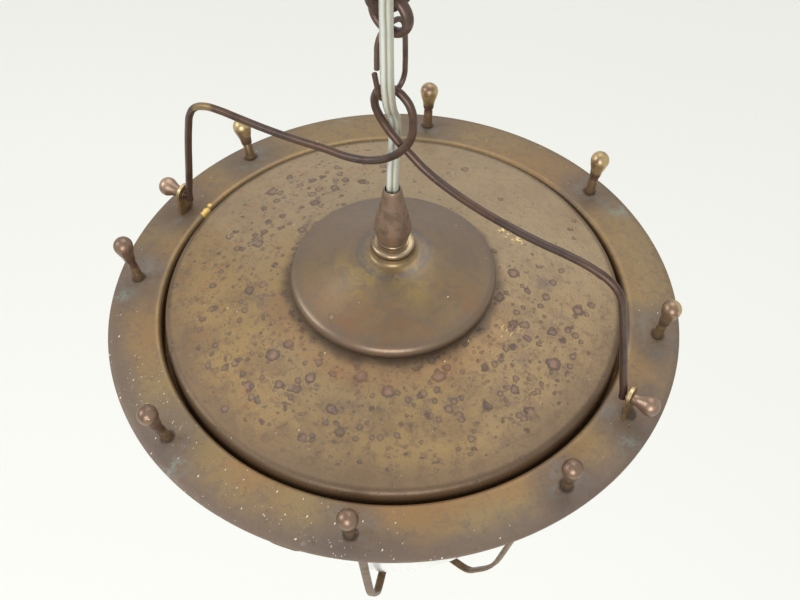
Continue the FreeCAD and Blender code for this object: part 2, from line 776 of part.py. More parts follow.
def make_bulb_cap():
    """The bulb's screw cap, a plain cylinder that stands for its rolled thread."""
    return spun([(0.0, bulb_top - bulb_cap_gap), (bulb_contact_r, bulb_top - bulb_cap_gap),
                 (screw_shell_r, bulb_top - bulb_cap_taper),
                 (screw_shell_r, bulb_top - screw_shell_h), (0.0, bulb_top - screw_shell_h)])


def make_bulb_glass():
    """The bulb's glass, from the cap's mouth to a round end."""
    high = bulb_top - screw_shell_h
    centre = bulb_bottom + bulb_r
    flare = (bulb_neck_r + bulb_flare_out, high - bulb_flare_drop)
    diagonal = bulb_r * math.sqrt(0.5)
    return spun_edges([line((0.0, high), (bulb_neck_r, high)),
                       curve([(bulb_neck_r, high), flare, (bulb_r, centre)],
                             (0.05, -1.0), (0.0, -1.0)),
                       arc((bulb_r, centre), (diagonal, centre - diagonal), (0.0, bulb_bottom)),
                       line((0.0, bulb_bottom), (0.0, high))])


# ---------------------------------------------------------------- chain, hook and ceiling fitting
def make_open_link():
    """The light wire link between loop and heavy link, sprung open part way up its front side."""
    half = open_width / 2
    middle = (open_low + open_high) / 2
    points = [Vector(0, -half - open_spread, middle - open_mouth / 2), Vector(0, -half, open_low),
              Vector(0, half, open_low), Vector(0, half, open_high), Vector(0, -half, open_high),
              Vector(0, -half, middle + open_mouth / 2)]
    corner = half - 0.02
    path = rounded_path(points, [corner * 0.9, corner, corner, corner])
    link = swept_round(path, open_wire_r)
    return turned(link, open_turn - 90.0)


def make_heavy_link():
    """The heavy round link, a rounded flat section spun about its own axis."""
    inner, outer, wide = heavy_inner_r, heavy_inner_r + heavy_radial, heavy_axial / 2
    face = Part.Face(Part.makePolygon([Vector(inner, 0, -wide), Vector(outer, 0, -wide), Vector(outer, 0, wide),
                                       Vector(inner, 0, wide), Vector(inner, 0, -wide)]))
    ring = face.revolve(Vector(0, 0, 0), UP, 360)
    ring = ring.makeFillet(heavy_round, ring.Edges)
    ring = turned(ring, 90, ALONG_X)
    return moved(turned(ring, heavy_turn), z=heavy_centre)


def make_hook():
    """The ceiling hook: a straight shank, a small kick and an open bow under the shank's axis."""
    bow = hook_bow_r
    kick = hook_low + hook_waist
    top = ceiling_height - plate_t - bridge_drop + hook_above_bridge
    points = [Vector(0, 0, top), Vector(0, 0, kick + hook_kick_rise), Vector(bow, 0, kick),
              Vector(bow, 0, hook_low), Vector(-bow, 0, hook_low),
              Vector(-bow, 0, hook_low + bow + hook_tip_rise)]
    bends = [hook_kick_bend, hook_kick_bend, bow - 0.02, bow - 0.02]
    hook = swept_round(rounded_path(points, bends), hook_wire_r)
    return turned(hook, hook_turn)


def make_cup():
    """The spun ceiling cup, with a hole for the hook's shank and one for the cord's bush."""
    foot = cup_foot
    edge = foot + cup_foot_rise
    outer = [(cup_r, ceiling_height), (cup_r * 0.93, foot + cup_depth * 0.52), (cup_foot_r, edge)]
    side = curve(outer, (0.0, -1.0), (-1.0, -0.25))
    inner = curve([(r - cup_t, z + cup_t * 0.3) if k == 0 else (r - cup_t * 0.8, z + cup_t * 0.8)
                   for k, (r, z) in enumerate(outer)][::-1], (1.0, 0.25), (0.0, 1.0))
    inner_low = (cup_foot_r - cup_t * 0.8, edge + cup_t * 0.8)
    rim = ceiling_height + cup_t * 0.3
    cup = spun_edges([side, line((cup_foot_r, edge), (0.0, foot)), line((0.0, foot), (0.0, foot + cup_t)),
                      line((0.0, foot + cup_t), inner_low), inner, line((cup_r - cup_t, rim), (cup_r, rim)),
                      line((cup_r, rim), (cup_r, ceiling_height))])
    above = Part.makeBox(4 * cup_r, 4 * cup_r, 5.0, Vector(-2 * cup_r, -2 * cup_r, ceiling_height))
    cup = cup.cut(above)
    cup = cup.cut(rod(hook_wire_r + tube_clear, 12.0, Vector(0, 0, foot - 4.0)))
    return cup.cut(rod(bush_r, 16.0, cord_point(*cord_upper[-1]) - Vector(0, 0, 12.0)))


def make_plate():
    """The round plate against the ceiling, with two screw holes on the X axis."""
    plate = rod(plate_r, plate_t, Vector(0, 0, ceiling_height - plate_t))
    for side in (-1, 1):
        at = Vector(side * plate_screw_spacing / 2, 0, ceiling_height - plate_t)
        plate = plate.cut(rod(plate_screw_r, plate_t, at))
    return plate


def make_bridge():
    """The strap bridge under the plate that carries the hook."""
    high = ceiling_height - plate_t
    low = high - bridge_drop
    reach, t = bridge_reach, bridge_t
    end = reach + bridge_foot
    profile = [Vector(-end, 0, high), Vector(-end, 0, high - t), Vector(-reach, 0, high - t),
               Vector(-reach, 0, low), Vector(reach, 0, low), Vector(reach, 0, high - t),
               Vector(end, 0, high - t), Vector(end, 0, high), Vector(reach - t, 0, high),
               Vector(reach - t, 0, low + t), Vector(-reach + t, 0, low + t), Vector(-reach + t, 0, high)]
    face = Part.Face(Part.makePolygon(profile + [profile[0]]))
    bridge = moved(face.extrude(Vector(0, bridge_w, 0)), y=-bridge_w / 2)
    bridge = turned(bridge, 90)
    return bridge.cut(rod(hook_wire_r + thread_gap, t, Vector(0, 0, low)))


def make_hook_nuts():
    """Two nuts on the hook's shank: one above the bridge, one under the cup."""
    above = ceiling_height - plate_t - bridge_drop + bridge_t
    below = cup_foot - hook_nut_h - 0.02
    nuts = []
    for z in (above, below):
        bore = rod(hook_wire_r + thread_gap, hook_nut_h, Vector(0, 0, z))
        nuts.append(hexagon(hook_nut_flats, hook_nut_h, z).cut(bore))
    return Part.makeCompound(nuts)


def cord_point(front, height):
    """A point of the cord's plane in the lamp's frame."""
    turn = math.radians(cord_turn)
    return Vector(front * math.cos(turn), front * math.sin(turn), height)


def flat_section(at, tangent, width, thickness):
    """The cord's round-ended flat section, its width square to the cord's plane."""
    turn = math.radians(cord_turn)
    across = Vector(-math.sin(turn), math.cos(turn), 0)
    out = across.cross(tangent).normalize()
    flat, half = (width - thickness) / 2, thickness / 2
    a, b = at - across * flat, at + across * flat
    return Part.Wire([Part.LineSegment(a + out * half, b + out * half).toShape(),
                      Part.Arc(b + out * half, b + across * half, b - out * half).toShape(),
                      Part.LineSegment(b - out * half, a - out * half).toShape(),
                      Part.Arc(a - out * half, a - across * half, a + out * half).toShape()])


def cord_radii(points):
    """The largest tangent arc that each inner point of a route leaves room for."""
    radii = []
    for before, corner, after in zip(points, points[1:], points[2:]):
        turn = (corner - before).getAngle(after - corner)
        shorter = min((corner - before).Length, (after - corner).Length)
        radii.append(0.45 * shorter / math.tan(turn / 2))
    return radii


def make_cord(name, route):
    """One stretch of the flat cord along its route, printed with its radii and its volume test."""
    points = [cord_point(*p) for p in route]
    radii = cord_radii(points)
    path = rounded_path(points, radii)
    tangent = (points[1] - points[0]).normalize()
    turn = math.radians(cord_turn)
    across = Vector(-math.sin(turn), math.cos(turn), 0)
    solid = swept_section(path, flat_section(points[0], tangent, cord_w, cord_t), across)
    area = (cord_w - cord_t) * cord_t + math.pi * cord_t ** 2 / 4
    print("%s length %.1f radii %s volume share %.4f" % (
        name, path.Length, [round(r, 1) for r in radii], solid.Volume / (area * path.Length)))
    return solid


def make_bush():
    """The flanged bush in the cup that the cord passes through."""
    at = cord_point(*cord_upper[-1])
    flange_z = at.z - bush_below_end
    body = rod(bush_r, bush_h, Vector(at.x, at.y, flange_z + bush_flange_t))
    flange = rod(bush_flange_r, bush_flange_t, Vector(at.x, at.y, flange_z))
    hole = rod(cord_w / 2 + bush_cord_gap, 12.0, Vector(at.x, at.y, flange_z - 1))
    return body.fuse(flange).removeSplitter().cut(hole)


def make_terminal():
    """The insulated terminal block in the cup, where the cord ends."""
    at = cord_point(*cord_upper[-1])
    long, deep, high = block_size
    block = Part.makeBox(long, deep, high, Vector(-long / 2, -deep / 2, 0))
    block = turned(block, cord_turn + 90.0)
    return moved(block, at.x, at.y, at.z)


# ---------------------------------------------------------------- write every node
def main():
    """Build and write every node."""
    save("ceiling_plate", make_plate())
    save("hook_bridge", make_bridge())
    save("ceiling_cup", make_cup())
    save("ceiling_hook", make_hook())
    save("hook_nuts", make_hook_nuts())
    save("cord_bush", make_bush())
    save("terminal_block", make_terminal())
    save("heavy_link", make_heavy_link())
    save("open_link", make_open_link())
    save("bail", make_bail())
    save("crown_ring", make_crown())
    save("bail_tabs", make_tabs())
    save("pivot_washers", make_washers())
    for name, degrees in (("right", 0), ("left", 180)):
        save("pivot_knob_" + name, turned(make_pivot_knob(), degrees))
    save("ring_knobs", make_ring_knobs())
    save("arm_nuts", make_arm_nuts())
    arm = make_arm()
    for k in range(arm_count):
        save("cradle_arm_%d" % (k + 1), turned(arm, first_arm + k * 360.0 / arm_count))
    save("lower_hub", make_hub())
    save("hub_rivets", make_rivets())
    save("bottom_finial", make_finial())
    save("finial_nut", make_finial_nut())
    save("cover", make_cover())
    save("cap", make_cap())
    save("collar_ring", make_collar_ring())
    save("collar_neck", make_neck())
    save("nozzle", make_nozzle())
    save("cord_grip", make_grip())
    save("centre_tube", make_tube())
    save("spreader", make_spreader())
    save("tube_nuts", make_tube_nuts())
    save("inner_leads", make_leads())
    save("gallery", make_gallery())
    save("gallery_screws", make_gallery_screws())
    save("glass_globe", make_globe())
    save("holder_cap", make_holder_cap())
    save("holder_skirt", make_holder_skirt())
    save("holder_insert", make_insert())
    save("centre_contact", make_contact())
    save("thread_shell", make_thread_shell())
    save("bulb_cap", make_bulb_cap())
    save("bulb_glass", make_bulb_glass())
    for name, route in (("cord_lower", cord_lower), ("cord_loop", cord_loop),
                        ("cord_chain", cord_chain), ("cord_upper", cord_upper)):
        save(name, make_cord(name, route))


main()
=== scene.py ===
"""Looks of a hanging lamp: patinated crown and cover, wire bail, chain, flat clear cord, cage and opal globe.

Sizes inside the classes are millimetres, apart from the studio's, which are metres. Heights are measured up
from the plane of the crown's outer edge, and at() lowers them to the ceiling origin and turns them into metres.
"""

import logging
import math
from dataclasses import dataclass, field
from enum import Enum
from typing import Sequence

import bpy
from mathutils import Matrix, Vector

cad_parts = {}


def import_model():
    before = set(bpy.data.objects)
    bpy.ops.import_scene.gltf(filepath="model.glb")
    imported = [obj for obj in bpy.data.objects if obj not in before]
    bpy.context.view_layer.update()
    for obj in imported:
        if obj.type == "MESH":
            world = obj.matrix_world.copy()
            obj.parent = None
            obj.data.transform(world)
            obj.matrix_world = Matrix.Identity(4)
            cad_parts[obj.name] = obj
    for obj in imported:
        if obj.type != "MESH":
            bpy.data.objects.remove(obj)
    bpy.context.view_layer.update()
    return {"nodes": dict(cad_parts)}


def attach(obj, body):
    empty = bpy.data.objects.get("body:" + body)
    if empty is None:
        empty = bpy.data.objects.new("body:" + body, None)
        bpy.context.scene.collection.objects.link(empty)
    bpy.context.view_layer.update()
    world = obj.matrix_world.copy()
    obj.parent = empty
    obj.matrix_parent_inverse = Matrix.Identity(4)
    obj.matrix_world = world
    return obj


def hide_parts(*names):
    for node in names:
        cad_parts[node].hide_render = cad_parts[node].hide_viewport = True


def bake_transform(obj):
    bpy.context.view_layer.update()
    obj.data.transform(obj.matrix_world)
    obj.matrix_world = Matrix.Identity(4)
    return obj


MM = 0.001  # metres in a millimetre
CEILING = 252.0  # millimetres from the crown's edge up to the ceiling
SEAM = 1e-6  # metres, the widest gap that is closed
POLE = 0.05  # millimetres, the radius at which a spun outline meets the axis
Colour = tuple[float, float, float, float]
Pair = tuple[float, float]
Triple = tuple[float, float, float]
Ring = Pair
Spot = Triple
log = logging.getLogger("lamp")


def at(x: float, y: float, height: float) -> Vector:
    """A point of the lamp, from millimetres and a height above the crown's edge.

    Args:
        x: Millimetres along the pivots.
        y: Millimetres across the pivots.
        height: Millimetres above the crown's edge.

    Returns:
        The point in metres.
    """
    return Vector((x * MM, y * MM, (height - CEILING) * MM))


def paint(red: int, green: int, blue: int) -> Colour:
    """A linear colour from ordinary 0-255 values.

    Args:
        red: Red, 0 to 255.
        green: Green, 0 to 255.
        blue: Blue, 0 to 255.

    Returns:
        The same colour, linear, with full alpha.
    """
    linear = [(v / 255 / 12.92) if v <= 10 else ((v / 255 + 0.055) / 1.055) ** 2.4 for v in (red, green, blue)]
    return (linear[0], linear[1], linear[2], 1.0)


# ------------------------------------------------------------------ wiring of materials
class Value:
    """A number, vector or colour inside a material, which ordinary signs add, multiply and compare."""

    def __init__(self, wiring: "Wiring", socket: bpy.types.NodeSocket) -> None:
        """Keep the socket that carries the value, and its wiring."""
        self.wiring = wiring
        self.socket = socket

    def __add__(self, other: object) -> "Value":
        """The sum of two values."""
        return self.wiring.math("ADD", self, other)

    def __sub__(self, other: object) -> "Value":
        """What is left of the value."""
        return self.wiring.math("SUBTRACT", self, other)

    def __mul__(self, other: object) -> "Value":
        """The product of two values."""
        return self.wiring.math("MULTIPLY", self, other)

    def __truediv__(self, other: object) -> "Value":
        """The value as a multiple of another."""
        return self.wiring.math("DIVIDE", self, other)

    def __gt__(self, other: object) -> "Value":
        """1 where the value is the greater, otherwise 0."""
        return self.wiring.math("GREATER_THAN", self, other)

    def __lt__(self, other: object) -> "Value":
        """1 where the value is the smaller, otherwise 0."""
        return self.wiring.math("LESS_THAN", self, other)


class Wiring:
    """Adds and joins the nodes of one material."""

    def __init__(self, name: str) -> None:
        """Start an empty material that ends in a principled surface."""
        self.material = bpy.data.materials.new(name)
        self.material.use_nodes = True
        self.tree = self.material.node_tree
        self.tree.nodes.clear()
        self.out = self.tree.nodes.new("ShaderNodeOutputMaterial")
        self.skin = self.tree.nodes.new("ShaderNodeBsdfPrincipled")
        self.tree.links.new(self.skin.outputs[0], self.out.inputs["Surface"])
        self.coords = self.tree.nodes.new("ShaderNodeTexCoord")
        self.place = Value(self, self.coords.outputs["Object"])

    def feed(self, socket: bpy.types.NodeSocket, value: object) -> None:
        """Set a socket to a plain number or colour, or join it to a value."""
        if isinstance(value, Value):
            self.tree.links.new(value.socket, socket)
        else:
            socket.default_value = value

    def math(self, operation: str, *values: object, clamp: bool = False) -> Value:
        """A sum, product or other step on numbers.

        Args:
            operation: The Math node's operation.
            values: Plain numbers or values.
            clamp: Keep the result between 0 and 1.

        Returns:
            The result.
        """
        node = self.tree.nodes.new("ShaderNodeMath")
        node.operation = operation
        node.use_clamp = clamp
        for socket, value in zip(node.inputs, values):
            self.feed(socket, value)
        return Value(self, node.outputs[0])

    def distance(self, along: Value, across: Value) -> Value:
        """How far away a point is, from two distances at right angles."""
        return self.math("SQRT", along * along + across * across)

    def parts(self, vector: Value) -> tuple[Value, ...]:
        """The x, y and z of a vector."""
        node = self.tree.nodes.new("ShaderNodeSeparateXYZ")
        self.feed(node.inputs[0], vector)
        return tuple(Value(self, socket) for socket in node.outputs)

    def join(self, x: object, y: object, z: object) -> Value:
        """A vector from three numbers or values."""
        node = self.tree.nodes.new("ShaderNodeCombineXYZ")
        for socket, value in zip(node.inputs, (x, y, z)):
            self.feed(socket, value)
        return Value(self, node.outputs[0])

    def noise(self, scale: float, detail: float = 3.0, rough: float = 0.55, twist: float = 0.0,
              vector: Value | None = None) -> Value:
        """Soft noise about 0.5.

        Args:
            scale: Blotches to a metre, roughly.
            detail: Octaves of finer noise.
            rough: Strength of the finer noise.
            twist: Distortion.
            vector: Where it is read, the object's own place unless given.

        Returns:
            The noise.
        """
        node = self.tree.nodes.new("ShaderNodeTexNoise")
        self.feed(node.inputs["Vector"], vector or self.place)
        for name, value in (("Scale", scale), ("Detail", detail), ("Roughness", rough), ("Distortion", twist)):
            node.inputs[name].default_value = value
        return Value(self, node.outputs["Fac"])

    def cells(self, scale: float, vector: Value | None = None) -> tuple[Value, ...]:
        """Scattered cell centres: distance to the nearest, and two random numbers of that cell's own."""
        node = self.tree.nodes.new("ShaderNodeTexVoronoi")
        self.feed(node.inputs["Vector"], vector or self.place)
        node.inputs["Scale"].default_value = scale
        pick = self.tree.nodes.new("ShaderNodeSeparateColor")
        self.tree.links.new(node.outputs["Color"], pick.inputs[0])
        sockets = (node.outputs["Distance"], pick.outputs[0], pick.outputs[1])
        return tuple(Value(self, socket) for socket in sockets)

    def attribute(self, name: str) -> Value:
        """A number kept on the piece's own points."""
        node = self.tree.nodes.new("ShaderNodeAttribute")
        node.attribute_name = name
        return Value(self, node.outputs["Fac"])

    def step(self, value: Value, low: float, high: float) -> Value:
        """A soft step from 0 at low to 1 at high."""
        node = self.tree.nodes.new("ShaderNodeMapRange")
        node.interpolation_type = "SMOOTHSTEP"
        self.feed(node.inputs["Value"], value)
        if low > high:
            low, high = high, low
            node.inputs["To Min"].default_value, node.inputs["To Max"].default_value = 1.0, 0.0
        node.inputs["From Min"].default_value, node.inputs["From Max"].default_value = low, high
        return Value(self, node.outputs["Result"])

    def mix(self, share: object, first: object, second: object) -> Value:
        """One colour over another."""
        node = self.tree.nodes.new("ShaderNodeMix")
        node.data_type = "RGBA"
        node.clamp_factor = True
        self.feed(node.inputs["Factor"], share)
        colours = [s for s in node.inputs if s.type == "RGBA"]
        self.feed(colours[0], first)
        self.feed(colours[1], second)
        return Value(self, [s for s in node.outputs if s.type == "RGBA"][0])

    def coats(self, colour: Value, coats: Sequence[tuple[object, Colour]]) -> Value:
        """Lay thin coats over a colour.

        Args:
            colour: The colour underneath.
            coats: How much shows, from 0 to 1, and the colour of each coat, from the lowest up.

        Returns:
            The colour on top.
        """
        for share, tint in coats:
            colour = self.mix(share, colour, tint)
        return colour

    def range(self, value: Value, low: float, high: float) -> Value:
        """Spread a 0-1 value over low to high."""
        node = self.tree.nodes.new("ShaderNodeMapRange")
        self.feed(node.inputs["Value"], value)
        node.inputs["To Min"].default_value, node.inputs["To Max"].default_value = low, high
        return Value(self, node.outputs["Result"])

    def bump(self, height: Value, strength: float, depth: float, under: Value | None = None) -> Value:
        """Raise the surface by a height, depth metres at most."""
        node = self.tree.nodes.new("ShaderNodeBump")
        node.inputs["Strength"].default_value = strength
        node.inputs["Distance"].default_value = depth
        self.feed(node.inputs["Height"], height)
        if under is not None:
            self.feed(node.inputs["Normal"], under)
        return Value(self, node.outputs[0])

    def radius(self) -> Value:
        """Distance from the lamp's axis, in metres."""
        x, y, _ = self.parts(self.place)
        return self.distance(x, y)

    def blob(self, spot: Spot, ragged: Value, softness: float) -> Value:
        """A ragged round mark on the lamp's upper faces.

        Args:
            spot: Its centre's x and y and its radius, in millimetres.
            ragged: Noise that makes the edge uneven.
            softness: Share of the radius over which it fades.

        Returns:
            1 inside the mark and 0 outside.
        """
        x, y, _ = self.parts(self.place)
        away = self.distance(x - spot[0] * MM, y - spot[1] * MM) * self.range(ragged, 0.35, 1.65)
        return self.step(away, spot[2] * MM, spot[2] * MM * (1 - softness))

    def any(self, shares: Sequence[Value]) -> Value:
        """The strongest of several shares."""
        total = shares[0]
        for share in shares[1:]:
            total = self.math("MAXIMUM", total, share)
        return total

    def dust(self, colour: Value, scale: float, rarity: object, speck: Colour) -> Value:
        """Tiny pale flecks over a colour, drawn out along Y."""
        x, y, z = self.parts(self.place)
        drawn = self.join(x * 2.0, y * 0.72, z)
        away, pick, size = self.cells(scale, drawn)
        shown = pick > rarity
        reach = self.range(size * size, 0.05, 0.19)
        return self.mix(shown * self.step(away - reach, 0.03, -0.03), colour, speck)

    def finish(self, colour: Value, rough: object, normal: Value | None = None,
               **constants: object) -> bpy.types.Material:
        """Join colour, roughness and normal to the surface, and set its constants.

        Args:
            colour: Base colour.
            rough: Roughness.
            normal: Bumped normal.
            constants: Other sockets of the surface by name, with _ for a space.

        Returns:
            The finished material.
        """
        self.feed(self.skin.inputs["Base Color"], colour)
        self.feed(self.skin.inputs["Roughness"], rough)
        if normal is not None:
            self.feed(self.skin.inputs["Normal"], normal)
        for name, value in constants.items():
            self.skin.inputs[name.replace("_", " ")].default_value = value
        return self.material


# ------------------------------------------------------------------ finishes
@dataclass(frozen=True)
class CrownPatina:
    """Olive-brown brass with grey halos round every knob and tab, and an inner lip partly rubbed and partly
    given a painted highlight.
    """

    olive: Colour = paint(147, 126, 90)
    tan: Colour = paint(145, 119, 84)
    orange: Colour = paint(156, 117, 78)
    purple: Colour = paint(113, 99, 91)
    slate: Colour = paint(130, 127, 119)
    # Dark brown for grime flecks, and for painted shade round the knob and tab feet.
    soot_and_shade: Colour = paint(62, 50, 42)
    verdigris: Colour = paint(150, 164, 154)
    # Lighter brass of the inner lip: partly rubbed, partly a painted highlight.
    rubbed: Colour = paint(166, 140, 98)
    bare: Colour = paint(240, 205, 120)
    # Darker brown of the inner wall down in the gap, a painted shade.
    wall: Colour = paint(132, 104, 70)
    dust: Colour = paint(238, 234, 222)
    knob_circle: float = 119.8
    tab_circle: float = 118.0
    chips: tuple[Spot, ...] = (
        (-105.9, 2.2, 3.2), (-102.4, -5.2, 1.9), (-107.8, 6.8, 1.2), (-104.0, -1.4, 1.0))
    pale_marks: tuple[Spot, ...] = (
        (31.6, -123.8, 2.4), (62.8, 107.4, 9.0), (-35.2, -121.0, 9.0), (123.5, -13.0, 8.0),
        (-112.0, -58.0, 8.0), (-86.0, 92.0, 7.0))

    def halo_distance(self, w: Wiring, first: float, pitch: float, circle: float) -> Value:
        """Distance to the nearest of a ring of feet, in metres, measured along and across the ring."""
        x, y, _ = w.parts(w.place)
        turned = w.math("ARCTAN2", y, x) + math.radians(720 - first + pitch / 2)
        folded = w.math("MODULO", turned, math.radians(pitch)) - math.radians(pitch / 2)
        return w.distance(folded * (circle * MM), w.radius() - circle * MM)

    def build(self) -> bpy.types.Material:
        """Wire the material."""
        w = Wiring("crown_patina")
        broad, mid, fine = w.noise(16.0, 2.0), w.noise(60.0, 5.0, 0.65), w.noise(420.0, 5.0, 0.7)
        grain = w.noise(170.0, 5.0, 0.7, 1.2)
        radius = w.radius()
        x, y, height = w.parts(w.place)
        front = x * 0.3 - y * 0.95
        colour = w.mix(w.step(broad, 0.38, 0.62), self.olive, self.tan)
        warm = w.step(radius + w.range(mid, -0.006, 0.006), 0.119, 0.108)
        warm = warm * w.step(w.noise(24.0, 2.0), 0.44, 0.6)
        foot = self.halo_distance(w, 22.5, 45.0, self.knob_circle)
        tab = self.halo_distance(w, 0.0, 180.0, self.tab_circle)
        near = w.math("MINIMUM", foot, tab)
        uneven = near * w.range(w.noise(48.0, 4.0, 0.6), 0.35, 1.7)
        cool = w.step(uneven, 0.018, 0.005) * w.step(w.noise(110.0, 5.0, 0.65), 0.48, 0.6)
        outer = w.step(radius + w.range(mid, -0.01, 0.008), 0.113, 0.127)
        mark_noise = w.noise(150.0, 5.0, 0.7)
        pale = w.any([w.blob(spot, mark_noise, 0.9) for spot in self.pale_marks])
        pale = pale * w.step(w.noise(210.0, 4.0, 0.7), 0.44, 0.6)
        # A dark joint at each knob and tab foot, with painted shade spreading round it.
        contact = w.step(near * w.range(w.noise(330.0, 3.0), 0.7, 1.3), 0.004, 0.0027)
        # The inner lip: partly rubbed brass, partly a painted highlight, stronger towards the back left.
        lip = w.step(radius, 0.1088, 0.107) * w.step(height, -0.2515, -0.249)
        back_left = w.step(x + y * -0.25, 0.0, -0.06)
        worn = lip * w.range(w.noise(70.0, 4.0), 0.35, 1.25) * w.range(back_left, 0.1, 0.6)
        # Painted shade: the inner wall below the lip, down in the gap, is painted darker.
        inside = w.step(height, -0.2485, -0.2505) * w.step(radius, 0.1085, 0.107)
        chips = w.any([w.blob(spot, w.noise(620.0, 4.0, 0.7), 0.25) for spot in self.chips])
        left = x * -0.35 - y * 0.94
        crowd = w.step(left, 0.045, 0.11) * w.step(w.noise(30.0, 3.0), 0.3, 0.55)
        colour = w.coats(colour, [
            (w.step(grain, 0.46, 0.66) * 0.42, self.purple), (w.step(grain, 0.46, 0.34) * 0.3, self.olive),
            (warm * w.range(w.step(front, -0.02, 0.09), 0.15, 0.5), self.orange),
            (w.step(uneven, 0.026, 0.008) * 0.62, self.purple), (cool * 0.62, self.slate),
            (outer * w.range(w.step(front, -0.04, 0.07), 0.22, 0.8), self.purple),
            (pale * 0.42, self.verdigris), (contact * 0.75, self.soot_and_shade), (worn, self.rubbed),
            (inside * 0.8, self.wall), (chips, self.bare), (w.step(fine, 0.55, 0.72) * 0.3, self.soot_and_shade)])
        colour = w.dust(colour, 620.0, w.range(crowd, 0.975, 0.52), self.dust)
        colour = w.dust(colour, 430.0, w.range(crowd, 0.985, 0.74), self.dust)
        rough = w.range(mid, 0.38, 0.58) + w.step(uneven, 0.022, 0.006) * 0.12
        rough = w.math("SUBTRACT", rough, worn * 0.12, clamp=True)
        normal = w.bump(fine * 0.3 + grain, 0.38, 0.0007)
        normal = w.bump(chips, 0.6, 0.0002, normal)
        return w.finish(colour, rough, normal, Metallic=0.55)


